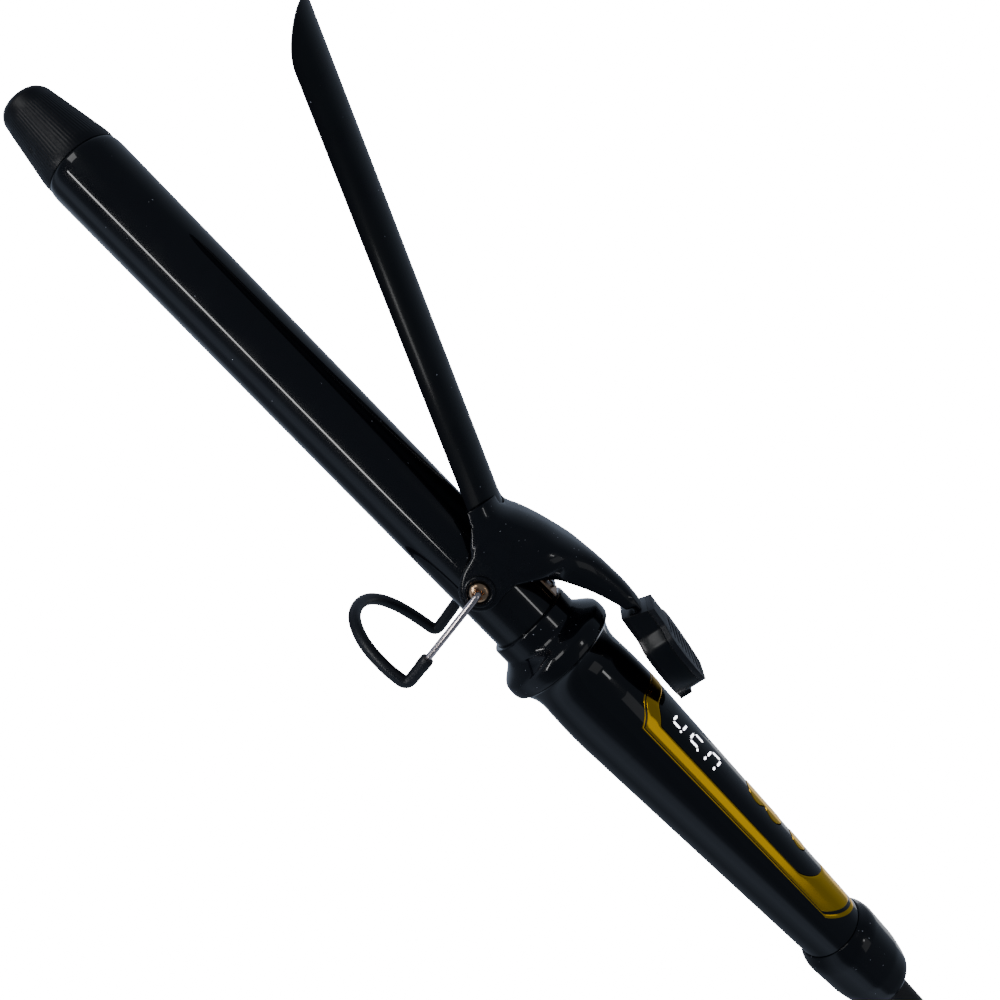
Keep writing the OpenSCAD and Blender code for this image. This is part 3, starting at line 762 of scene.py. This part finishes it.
def make_saddle():
    """The lever moulding: arched body, two ears, room for the barrel and spring, and a tongue."""
    sections = []
    for i in range(len(SADDLE) - 1):
        prev, here = SADDLE[max(i - 1, 0)], SADDLE[i]
        then, later = SADDLE[i + 1], SADDLE[min(i + 2, len(SADDLE) - 1)]
        flat = [[*s[0], *s[1], s[2]] for s in (prev, here, then, later)]
        for k in range(4):
            t = k / 4
            v = [eased(a, b, c, d, t) for a, b, c, d in zip(*flat)]
            sections.append(((v[0], v[1]), (v[2], v[3]), min(v[4], 16.1)))
    sections.append(SADDLE[-1])
    body = lofted("saddle", [arch(*s) for s in sections])
    ear_line = [(p.x, p.y) for p in smooth_line([(x, z, 0) for x, z in EAR], 0.8) if p.y < 6.9]
    ears = []
    for side in (-1, 1):
        flat = [(x, 16.2 * side, z) for x, z in [*ear_line, (197.6, 8), (181.3, 8)]]
        deep = [(x, 13.7 * side, z) for x, z in [*ear_line, (196.6, 17), (180.5, 17)]]
        ears.append(lofted("ear", [flat, deep]))
    clear = BARREL_R + 0.35
    sweep = turned("sweep", [(150, 0), (150, clear), (PIVOT_X + 1.5, clear), (PIVOT_X + 1.5, clear + 0.9),
                             (232, clear + 0.9), (232, 0)], 128)
    rear = opened(turned("sweep", [(150, 0), (150, clear + 0.9), (173.8, clear + 0.9), (173.8, clear),
                                   (PIVOT_X, clear), (PIVOT_X, 0)], 128))
    wedge = extruded("wedge", [(PIVOT_X + 1, 0), (PIVOT_X - 40, -1), (PIVOT_X - 40, 17), (PIVOT_X, 1)],
                     -clear + 0.05, clear - 0.05)
    room = block("room", (170, 203), (-13.8, 13.8), (-12, 11.5))
    pocket = block("pocket", (197.2, 211), (-6, 6), (10, 22.6))
    tongue = moved(block("tongue", (-3.5, 19.5), (-4, 4), (3.1, 5.4)), PAD)
    mesh = cut(added(body, *ears, tongue), sweep, rear, wedge, room, pocket)
    mesh = applied(
        mesh,
        ("REMESH", {"mode": "VOXEL", "voxel_size": 0.25 * MM, "use_smooth_shade": True}, None),
        ("SMOOTH", {"factor": 0.6, "iterations": 50}, None),
    )
    rings = []
    for side in (-1, 1):
        profile = [(15.9, 3.5), (16.75, 3.5), (16.95, 3.8), (16.95, 4.5), (16.75, 4.8), (15.9, 4.8)]
        rim = side_lathe("ring", [(side * y, r) for y, r in profile], 96)
        rings.append(moved(rim, Matrix.Translation((PIVOT_X * MM, 0, 0))))
    finished("clip_saddle_lever", joined("saddle", [mesh, *rings]), "clip",
             saddle_plastic, ["clip_saddle"], sharp=0)


PAD = Matrix.Translation((0.2288, 0, 0.0242)) @ Matrix.Rotation(math.radians(7), 4, "Y")


PAD_HALF = [
    (0, 6.6), (8.2, 7.1), (9.2, 7.6), (11.2, 10.6), (12.6, 11.5), (15, 11.9), (18, 11.8), (22, 11.0),
    (26, 9.5), (29, 7.9), (30.2, 7.1), (30.9, 6.0),
]


def pad_slab(z0, z1):
    """A slice of the pad: narrow in front, flared to a wide grip, its front leaning back."""
    plan = [*PAD_HALF, *[(x, -y) for x, y in reversed(PAD_HALF)]]
    slab = prism(plan, z0, z1)
    lean = extruded("lean", [(-4, -6), (-1.4, -6), (0, -1.2), (3.4, 10.5), (-4, 10.5)], -14, 14)
    return cut(slab, lean)


def make_pad():
    base = added(pad_slab(-1.2, 6.95), block("lug", (30.3, 32.2), (-6.3, 6.3), (-1.2, 3)))
    base = applied(base, soft_edges(0.4, 3, 35))
    finished("thumb_pad_lower", moved(base, PAD), "clip", pad_plastic, ["thumb_pad_base"])
    for_ribs = [block("rib", (x, x + 0.9), (-6.5, 6.5), (8.35, 10)) for x in range(12, 29, 2)]
    cap = applied(cut(pad_slab(6.98, 8.8), joined("ribs", for_ribs)), soft_edges(0.3, 3, 35))
    # The cap's lighter colour is painted light on the pad's top face.
    finished("thumb_pad_upper", moved(cap, PAD), "clip", pad_top_painted_light, ["thumb_pad_cap"])


# ---------------------------------------------------------------- pivot, stand and spring
def make_screws():
    """Two pan head screws with a cross recess and a bore for the stand's wire."""
    head = [(12.7, 0), (12.7, 2.5), (16.4, 2.5), (16.4, 3.05), (17.0, 3.05), (17.5, 2.9), (17.9, 2.5),
            (18.15, 1.7), (18.2, 0)]
    at_pivot = Matrix.Translation((PIVOT_X * MM, 0, 0))
    parts = []
    for side in (-1, 1):
        mesh = moved(side_lathe("screw", [(side * y, r) for y, r in head], 64), at_pivot)
        slots = []
        for turn in (25, 115):
            slot = block("slot", (-1.95, 1.95), (side * 17.05 - 1.3, side * 17.05 + 1.3), (-0.75, 0.75))
            there = Matrix.Translation((PIVOT_X * MM, side * 0.9 * MM, 0))
            slots.append(moved(slot, there @ Matrix.Rotation(math.radians(turn), 4, "Y")))
        bore = [(side * 14, 0), (side * 14, 1.16), (side * 19, 1.16), (side * 19, 0)]
        parts.append(cut(mesh, *slots, moved(side_lathe("hole", bore, 40), at_pivot)))
    screws = finished("pivot_pan_screws", joined("screws", parts), "root", screw_nickel,
                      ["pivot_screws"])
    bevelled(screws, 0.12, 2, 40)


# The toe of the stand on the floor, seen from above, from the near bend to the far one: row frame, mm
TOE = [
    (-24.4, -21.6), (-27.4, -21.5), (-30.4, -20.9), (-36.1, -18.6), (-41.3, -14.1), (-45.3, -6.9),
    (-46.4, 2.1), (-44.8, 10.6), (-40.7, 17.1), (-34.9, 21.4), (-28.2, 23.6), (-23.6, 24.4),
]
SLEEVE_R = 2.0


def corner(before, at, after, fillet, steps=8):
    """A round corner of a path in space."""
    at = Vector(at)
    a = at + (Vector(before) - at).normalized() * fillet
    b = at + (Vector(after) - at).normalized() * fillet
    shares = [k / steps for k in range(steps + 1)]
    return [a * (1 - t) ** 2 + 2 * at * t * (1 - t) + b * t * t for t in shares]


def make_stand():
    """The wire from ear to ear by way of the toe, and the rubber sleeve on its lower part."""
    to_axis = PLACE.inverted()
    toe = [(to_axis @ (Vector((x, y, 2.05)) * MM)) / MM for x, y in TOE]
    toe = smooth_line(toe, 1.0)
    near_foot = (to_axis @ (Vector((-21.2, -21.6, 2.05)) * MM)) / MM
    far_foot = (to_axis @ (Vector((-18.9, 24.9, 2.05)) * MM)) / MM
    near_pin, far_pin = (PIVOT_X, -19.4, 0), (PIVOT_X, 19.4, 0)
    line = [Vector((PIVOT_X, -14.8, 0)), Vector((PIVOT_X, -16.5, 0))]
    line += corner((PIVOT_X, -14, 0), near_pin, near_foot, 1.9)
    line += corner(near_pin, near_foot, toe[0], 2.6)
    line += toe[1:-1]
    line += corner(toe[-1], far_foot, far_pin, 2.6)
    line += corner(far_foot, far_pin, (PIVOT_X, 14, 0), 1.9)
    line += [Vector((PIVOT_X, 16.5, 0)), Vector((PIVOT_X, 14.8, 0))]
    dense = [line[0]]
    for p in line[1:]:
        steps = max(1, round((p - dense[-1]).length / 0.8))
        start = dense[-1]
        dense += [start.lerp(p, k / steps) for k in range(1, steps + 1)]
    wire = tube("stand", dense, 1.08, 24)
    finished("stand_wire_loop", wire, "stand", wire_chrome, ["stand_wire"], sharp=60)
    sleeved = [p for p in dense if p.z < (-12 if p.y > 0 else -23.4)]
    total = sum((b - a).length for a, b in zip(sleeved, sleeved[1:]))

    def cuff(share):
        end = min(share, 1 - share) * total
        if end < 0.25:
            return 1.9
        return 2.15 if end < 3.2 else SLEEVE_R + 0.15 * max(0, 1 - (end - 3.2) / 0.5)

    sleeve = tube("sleeve", sleeved, cuff, 28)
    finished("stand_rubber_sleeve", sleeve, "stand", sleeve_rubber,
             ["stand_sleeve"], sharp=45)


def make_spring():
    """Bronze leaf: a foot on the barrel, a round bend and an arm under the lever."""
    middle = [(210.4, 12.85), (206, 12.85), (203, 12.8)]
    for a in range(0, 181, 15):
        t = math.radians(a)
        middle.append((201 - 2.05 * math.sin(t), 14.85 - 2.05 * math.cos(t)))
    rise = math.radians(18)
    middle += [(201 + d * math.cos(rise), 16.9 + d * math.sin(rise)) for d in (2, 4, 6, 8)]
    upper, lower = [], []
    for i, p in enumerate(middle):
        a, b = Vector(middle[max(i - 1, 0)]), Vector(middle[min(i + 1, len(middle) - 1)])
        side = (b - a).normalized().orthogonal() * 0.22
        upper.append(tuple(Vector(p) + side))
        lower.append(tuple(Vector(p) - side))
    leaf = extruded("spring", upper + lower[::-1], -4.4, 4.4)
    finished("lever_leaf_spring", leaf, "root", spring_bronze, ["clip_spring"])
    head = [(13.1, 0), (13.1, 2.5), (14.1, 2.5), (14.6, 1.9), (14.75, 0)]
    dome = moved(turned("screw", head, 40), Matrix.Rotation(math.radians(-90), 4, "Y"))
    dome = moved(dome, Matrix.Translation((0.2064, 0, 0)))
    dome = cut(dome, block("slot", (204.6, 208.2), (-0.35, 0.35), (14.2, 16)))
    finished("spring_pan_screw", dome, "root", steel, ["spring_screw"])


# ---------------------------------------------------------------- guard and handle
def handle_r(x):
    """The handle's radius: a flare behind the guard, a slight swell, then a taper."""
    if x < 235:
        return HANDLE_R + 4.1 * max(0, (235 - x) / 9.8) ** 2.2
    if x < 262:
        return HANDLE_R + 0.47 * math.sin(math.pi * (x - 235) / 27)
    return HANDLE_R + 0.05 - TAPER * (x - 262)


def handle_profile(x0, x1):
    """Points of the handle's outline, close together where it curves."""
    out, x = [], x0
    while x < x1 - 0.5:
        out.append((x, handle_r(x)))
        x += 1 if x < 262 else 6
    return [*out, (x1, handle_r(x1))]


def make_guard():
    outline = rounded([
        (226.4, 13.3), (226.5, 19.0), (226.3, 19.45, 0.3), (225.2, 19.7, 0.4), (223.6, 19.72, 0.6),
        (221.9, 19.5, 0.7), (221.0, 18.85, 0.9), (219.9, 17.6, 1), (218.7, 16.1, 1),
        (217.5, 14.8, 0.9), (216.6, 14.17, 0.6), (211.5, 14.15, 0.35),
        (211.0, 13.8, 0.2), (211.0, 12.62), (222.2, 12.62), (222.2, 13.3),
    ], 5)
    finished("heat_guard_bell", turned("guard", outline, 192), "root", guard_plastic,
             ["heat_guard"])


def loop(front, corner, angle, rear, steps=24):
    """Half of a trim or panel outline on the handle: (x, angle from the crown) points."""
    (front_x, front_y), (corner_x, corner_y), (mid, end, half) = front, corner, rear
    widest = math.radians(angle)

    def at(x, y):
        return x, min(widest, math.asin(min(0.999, y / handle_r(x))))

    line = [(front_x, 0), (front_x, front_y, 1.6), (corner_x, corner_y, 2.6), (corner_x + 6, corner_y + 6)]
    pts = []
    flat = rounded(line, 6)
    first = flat[0]
    for k in range(6):
        pts.append(at(first[0], front_y * 0.82 * k / 6))
    pts += [at(x, y) for x, y in flat[1:]]
    start = pts[-1][0]
    pts += [(start + (mid - start) * k / steps, widest) for k in range(1, steps)]
    for k in range(19):
        t = math.pi / 2 * (1 - k / 18)
        pts.append(at(mid + (end - mid) * math.cos(t), half * math.sin(t)))
    return pts


TRIM_LOOP = ((251.2, 10.4), (257, 14.3), 65.5, (340, 352.5, 11.5))
PANEL_LOOP = ((256.2, 8.4), (261, 11.9), 50.5, (326, 337.8, 10))


def full_loop(spec):
    half = loop(*spec)
    return half + [(x, -a) for x, a in half[-2:0:-1]]


def make_trim():
    """The gold band between the handle and the panel, and the fine line that edges it. Each point
    of a section is a share of the way from the outer to the inner outline, and a height."""
    outer, inner = full_loop(TRIM_LOOP), full_loop(PANEL_LOOP)
    profile = [(0.02, -1.4), (0.02, -0.3), (0.04, 0), (0.06, 0.06), (0.09, 0.08), (0.3, 0.08), (0.5, 0.08),
               (0.7, 0.08), (0.88, 0.08), (0.95, 0.04), (0.985, -0.08), (1, -0.25), (1, -1.4)]
    edging = [(-0.15, -0.3), (-0.15, 0.02), (-0.13, 0.06), (-0.07, 0.06), (-0.05, 0.02), (-0.05, -0.3)]
    bands = []
    for band in (profile, edging):
        rings = []
        for share, off in band:
            ring = []
            for (x0, a0), (x1, a1) in zip(outer, inner):
                x, a = x0 + (x1 - x0) * share, a0 + (a1 - a0) * share
                r = handle_r(x) + off
                ring.append((x, r * math.sin(a), r * math.cos(a)))
            rings.append(ring)
        rings.append(rings[0])
        bands.append(lofted("trim", rings, closed_ends=False))
    mesh = joined("trim", bands)
    finished("gold_trim_ring", mesh, "root", gold, ["gold_trim"], sharp=60)


def prism(outline, z0, z1):
    low = [(x, y, z0) for x, y in outline]
    high = [(x, y, z1) for x, y in outline]
    return lofted("prism", [low, high])


def oval(x0, r, count=48):
    turns = [2 * math.pi * k / count for k in range(count)]
    return [(x0 + r * math.cos(a), r * math.sin(a)) for a in turns]


def rocker_shape(grow):
    """The rocker's outline: two round lobes and a waist between them."""
    reach, r, waist = 4.2, 4.6 + grow, 2.7 + grow
    corner = math.sqrt(r * r - waist * waist)
    start = math.atan2(waist, -corner)
    right = []
    for k in range(33):
        a = -start + 2 * start * k / 32
        right.append((reach + r * math.cos(a), r * math.sin(a)))
    pts = right + [(-x, -y) for x, y in right]
    return [(ROCKER_X + x, y) for x, y in pts]


def handle_hole():
    half = [(253.7, 9.4), (258.6, 13.1), (334, 10.6), (345, 5)]
    return prism([*[(x, -y) for x, y in half], *half[::-1]], 4, 30)


def make_handle():
    outer = handle_profile(226.6, 357)
    inner = [(357, handle_r(357) - 2), (262, handle_r(262) - 2), (235, 13.6), (226.6, 13.6)]
    front = [(226.6, 19.2)]
    mesh = cut(turned("handle", front + outer[1:] + inner, 192), handle_hole())
    obj = finished("handle_barrel", mesh, "root", handle_plastic, ["handle_shell"])
    round_normals(obj, handle_r, 0.05)


def make_panel():
    half = loop(*PANEL_LOOP)
    stations = {}
    for x, a in half:
        stations[round(x, 3)] = max(a, stations.get(round(x, 3), 0))
    gap = 0.13
    rings = []
    for x in sorted(stations):
        a = max(stations[x] - gap / 14, 0.01)
        x_in = min(max(x, PANEL_LOOP[0][0] + gap), PANEL_LOOP[3][1] - gap)
        ring = []
        for off, way in ((-0.02, 1), (-1.8, -1)):
            for k in range(41):
                t = way * a * (2 * k / 40 - 1)
                r = handle_r(x_in) + off
                ring.append((x_in, r * math.sin(t), r * math.cos(t)))
        rings.append(ring)
    front, rear = DISPLAY_X
    mesh = cut(
        lofted("panel", rings),
        prism([(front, -DISPLAY_HALF), (rear, -DISPLAY_HALF), (rear, DISPLAY_HALF), (front, DISPLAY_HALF)],
              8, 25),
        prism(rocker_shape(0.35), 8, 25),
        prism(oval(POWER_X, 4.05), 8, 25),
    )
    mesh = applied(mesh, soft_edges(0.15, 2, 50))
    obj = finished("control_panel_strip", mesh, "root", panel_plastic,
                   ["control_panel"])
    round_normals(obj, lambda x: handle_r(x) - 0.02, 0.03)


BUTTON_PROUD = 0.14


def make_buttons():
    """The rocker and the round key, their tops curved like the handle and just proud of it."""
    crown = [(290, 0)] + [(x, handle_r(x) + BUTTON_PROUD) for x in range(290, 341, 5)] + [(340, 0)]
    for name, outline, body, node_name in (
        ("temperature_rocker", rocker_shape(0), "rocker", "temperature_button"),
        ("power_key", oval(POWER_X, 3.7), "power", "power_button"),
    ):
        mesh = applied(
            prism(outline, 9, 20),
            ("BOOLEAN", {"operation": "INTERSECT"}, turned("crown", crown, 256)),
            soft_edges(0.3, 4, 45),
        )
        obj = finished(name, mesh, body, gold, [node_name])
        round_normals(obj, lambda x: handle_r(x) + BUTTON_PROUD, 0.04)


# Centre lines of the lit bars, (x, y) to (x, y) on the handle: the digits 450, seen down to
# just below their middle bars
BARS = [
    ((264.2, -6.0), (263.5, -8.0)), ((263.8, -8.6), (266.8, -8.5)), ((268.8, -5.8), (268.1, -8.0)),
    ((267.7, -8.7), (267.5, -9.3)), ((273.2, -5.1), (276.7, -5.0)), ((272.3, -5.7), (271.7, -7.8)),
    ((272.0, -8.4), (275.3, -8.2)), ((275.8, -8.5), (275.6, -9.2)), ((281.6, -4.7), (285.1, -4.3)),
    ((280.8, -5.2), (280.0, -7.4)), ((285.5, -4.9), (284.7, -7.2)), ((279.6, -8.2), (279.3, -9.2)),
    ((284.0, -8.3), (283.8, -9.2)),
]


def on_handle(x, arc, off):
    """A point of the handle's surface at an arc length from the crown."""
    r = handle_r(x)
    return x, (r + off) * math.sin(arc / r), (r + off) * math.cos(arc / r)


def lit_bar(start, end, half=0.37):
    a, b = (Vector((x, handle_r(x) * math.asin(y / handle_r(x)))) for x, y in (start, end))
    way = (b - a).normalized() * half
    side = Vector((-way.y, way.x))
    a, b = a - way * 0.2, b + way * 0.2
    outline = [a, a + way + side, b - way + side, b, b - way - side, a + way - side]
    if (b - a).length < 2.4 * half:
        outline = [a + side, b + side, b - side, a - side]
    return lofted("bar", [[on_handle(*p, off) for p in outline] for off in (-0.05, 0.03)])


def make_display():
    digits = joined("digits", [lit_bar(*bar) for bar in BARS])
    finished("display_digits", digits, "root", lit_segment())
    there = Matrix.Translation((262 * MM, 0, DIGIT_Z * MM)) @ Matrix.Rotation(math.atan(TAPER), 4, "Y")
    back = moved(block("back", (-1.6, 26.6), (-6, 6), (-3.4, -0.1)), there)
    finished("display_backing", back, "root", display_black, ["display_module"])
    rings = []
    gap = 0.03
    front, rear = DISPLAY_X[0] + gap, DISPLAY_X[1] - gap
    for k in range(15):
        x = front + (rear - front) * k / 14
        r = handle_r(x)
        half = r * math.asin((DISPLAY_HALF - gap) / r)
        top = [on_handle(x, half * (2 * i / 20 - 1), -0.02) for i in range(21)]
        low = [on_handle(x, half * (1 - 2 * i / 20), -1.5) for i in range(21)]
        rings.append(top + low)
    lens = finished("display_lens", lofted("lens", rings), "root", lens_smoke,
                    ["display_window"])
    round_normals(lens, lambda x: handle_r(x) - 0.02, 0.03)


def make_collar_and_boot():
    outline = rounded([
        (351, 8), (351, 9.2), (357.2, 9.2), (357.2, 11.9, 0.3), (358.3, 12.4, 0.4), (360.3, 13.45, 0.8),
        (362.4, 13.86, 1.2), (374.5, 13.2, 1), (380.2, 12.1, 1.5), (382.2, 11.45, 0.6), (383, 10.6, 0.4),
        (383, 6.08), (379.4, 6.08), (379.4, 8.8), (358, 8.8), (358, 8),
    ], 5)
    finished("end_collar_cap", turned("collar", outline, 192), "root", guard_plastic,
             ["end_collar"])
    boot = rounded([
        (376, 3.2), (376, 8.4), (379.2, 8.4), (379.2, 6), (384.2, 6), (386, 5.95, 0.8), (389, 5.9, 1),
        (408, 5.2, 2), (427.2, 4.3, 0.4), (428, 4.0, 0.3), (428, 3.3), (420, 3.3), (419, 3.2),
    ], 5)
    finished("cord_boot_sleeve", turned("boot", boot, 96), "swivel", boot_rubber,
             ["cord_boot"])


# ---------------------------------------------------------------- inside parts and surroundings
INSIDE = {
    "ceramic_heater": ceramic_white, "heat_spreader_upper": spreader_metal,
    "heat_spreader_lower": spreader_metal, "temperature_sensor": ceramic_white,
    "thermal_fuse": ceramic_white, "heater_leads": insulation, "barrel_insulator": insulation,
    "pivot_bosses": steel, "circuit_board": board_green, "board_screws": steel,
    "tact_switches": display_black, "contact_brushes": contact_brass, "swivel_core": insulation,
    "contact_rings": contact_brass, "pad_screw": steel,
}


def finish_inside():
    """Gives the parts that keep their CAD shape their materials."""
    for name, material in INSIDE.items():
        mesh = frame["nodes"][name].data
        mesh.materials.clear()
        mesh.materials.append(material)


def brightness_ramp(tree, value, stops):
    """Brightness against a value in 0..1, from (place, brightness) stops."""
    n = tree.nodes.new("ShaderNodeValToRGB")
    ends = n.color_ramp.elements
    ends[0].position, ends[1].position = stops[0][0], stops[-1][0]
    for end, level in ((ends[0], stops[0][1]), (ends[1], stops[-1][1])):
        end.color = (level * COOL[0], level * COOL[1], level * COOL[2], 1)
    for place, level in stops[1:-1]:
        ends.new(place).color = (level * COOL[0], level * COOL[1], level * COOL[2], 1)
    tree.links.new(value, n.inputs["Fac"])
    return n.outputs["Color"]


def across(tree, vector, low, high):
    """The y part of a vector, scaled from low..high to 0..1."""
    parts = tree.nodes.new("ShaderNodeSeparateXYZ")
    scaled = tree.nodes.new("ShaderNodeMapRange")
    scaled.inputs["From Min"].default_value = low
    scaled.inputs["From Max"].default_value = high
    tree.links.new(vector, parts.inputs["Vector"])
    tree.links.new(parts.outputs["Y"], scaled.inputs["Value"])
    return scaled.outputs["Result"]


def backdrop(tree, out, kind, level):
    """White to the eye; the light it gives to the object comes from the level instead."""
    seen, given = tree.nodes.new(kind), tree.nodes.new(kind)
    seen.inputs["Color"].default_value = (1, 1, 1, 1)
    seen.inputs["Strength"].default_value = WHITE
    given.inputs["Strength"].default_value = 1
    tree.links.new(level, given.inputs["Color"])
    path = tree.nodes.new("ShaderNodeLightPath")
    mix = tree.nodes.new("ShaderNodeMixShader")
    tree.links.new(path.outputs["Is Camera Ray"], mix.inputs["Fac"])
    tree.links.new(given.outputs[0], mix.inputs[1])
    tree.links.new(seen.outputs[0], mix.inputs[2])
    tree.links.new(mix.outputs[0], out.inputs["Surface"])


# How bright the floor and the surroundings look, and the tint of the light they give
WHITE = 18
COOL = (0.82, 0.98, 1.25)
# The floor's light against y, from 200 mm in front of the object to 200 mm behind it
FLOOR_LIGHT = [
    (0.0, 0.1), (0.3, 0.1), (0.37, 0.14), (0.405, 0.36), (0.44, 0.36), (0.47, 0.12), (0.51, 0.1),
    (0.535, 0.25), (0.57, 0.36), (0.66, 0.45), (0.76, 0.6), (1.0, 0.6),
]
# The surroundings' light against the y part of the direction, from the camera's side to the far side
STUDIO_LIGHT = [(0.0, 0.11), (0.5, 0.12), (0.75, 0.2), (0.95, 0.24), (1.0, 0.34)]


def make_floor():
    mat = bpy.data.materials.new("floor")
    mat.use_nodes = True
    tree = mat.node_tree
    tree.nodes.clear()
    out = tree.nodes.new("ShaderNodeOutputMaterial")
    where = tree.nodes.new("ShaderNodeTexCoord").outputs["Object"]
    level = brightness_ramp(tree, across(tree, where, -0.2, 0.2), FLOOR_LIGHT)
    backdrop(tree, out, "ShaderNodeEmission", level)
    mesh = bpy.data.meshes.new("floor")
    mesh.from_pydata([(-4, -4, 0), (4, -4, 0), (4, 4, 0), (-4, 4, 0)], [], [(0, 1, 2, 3)])
    mesh.materials.append(mat)
    floor = bpy.data.objects.new("floor", mesh)
    bpy.context.scene.collection.objects.link(floor)


def make_world():
    world = bpy.data.worlds.new("studio")
    bpy.context.scene.world = world
    world.use_nodes = True
    tree = world.node_tree
    tree.nodes.clear()
    out = tree.nodes.new("ShaderNodeOutputWorld")
    toward = tree.nodes.new("ShaderNodeTexCoord").outputs["Generated"]
    level = brightness_ramp(tree, across(tree, toward, -1, 1), STUDIO_LIGHT)
    backdrop(tree, out, "ShaderNodeBackground", level)


def area_light(name, at, target, size, power):
    """A lamp placed in the iron's axis frame, in millimetres."""
    data = bpy.data.lights.new(name, "AREA")
    data.shape = "RECTANGLE"
    data.size, data.size_y = (v * MM for v in size)
    data.energy = power
    lamp = bpy.data.objects.new(name, data)
    bpy.context.scene.collection.objects.link(lamp)
    away = (Vector(at) - Vector(target)).normalized()
    side = (Vector((1, 0, 0)) - away * away.x).normalized()
    up = away.cross(side).normalized()
    turn = Matrix((side, up, away)).transposed().to_4x4()
    lamp.matrix_world = PLACE @ Matrix.Translation(Vector(at) * MM) @ turn
    lamp.visible_camera = False


def make_lights():
    area_light("strip", (92, -95, -40), (92, 0, 0), (225, 7), 0.062)
    area_light("soft_top", (350, -420, 600), (215, 0, 20), (130, 60), 0.12)
    area_light("trim_side", (495, -250, 310), (300, 0, 0), (230, 180), 0.045)
    area_light("far_side", (632, 395, 106), (345, 0, 15), (260, 260), 0.12)
    area_light("left_side", (-400, -420, 60), (190, -15, -15), (300, 200), 0.5)


make_barrel()
make_tip()
make_blade()
make_saddle()
make_pad()
make_screws()
make_stand()
make_spring()
make_guard()
make_trim()
make_handle()
make_panel()
make_buttons()
make_display()
make_collar_and_boot()
finish_inside()
make_floor()
make_world()
make_lights()
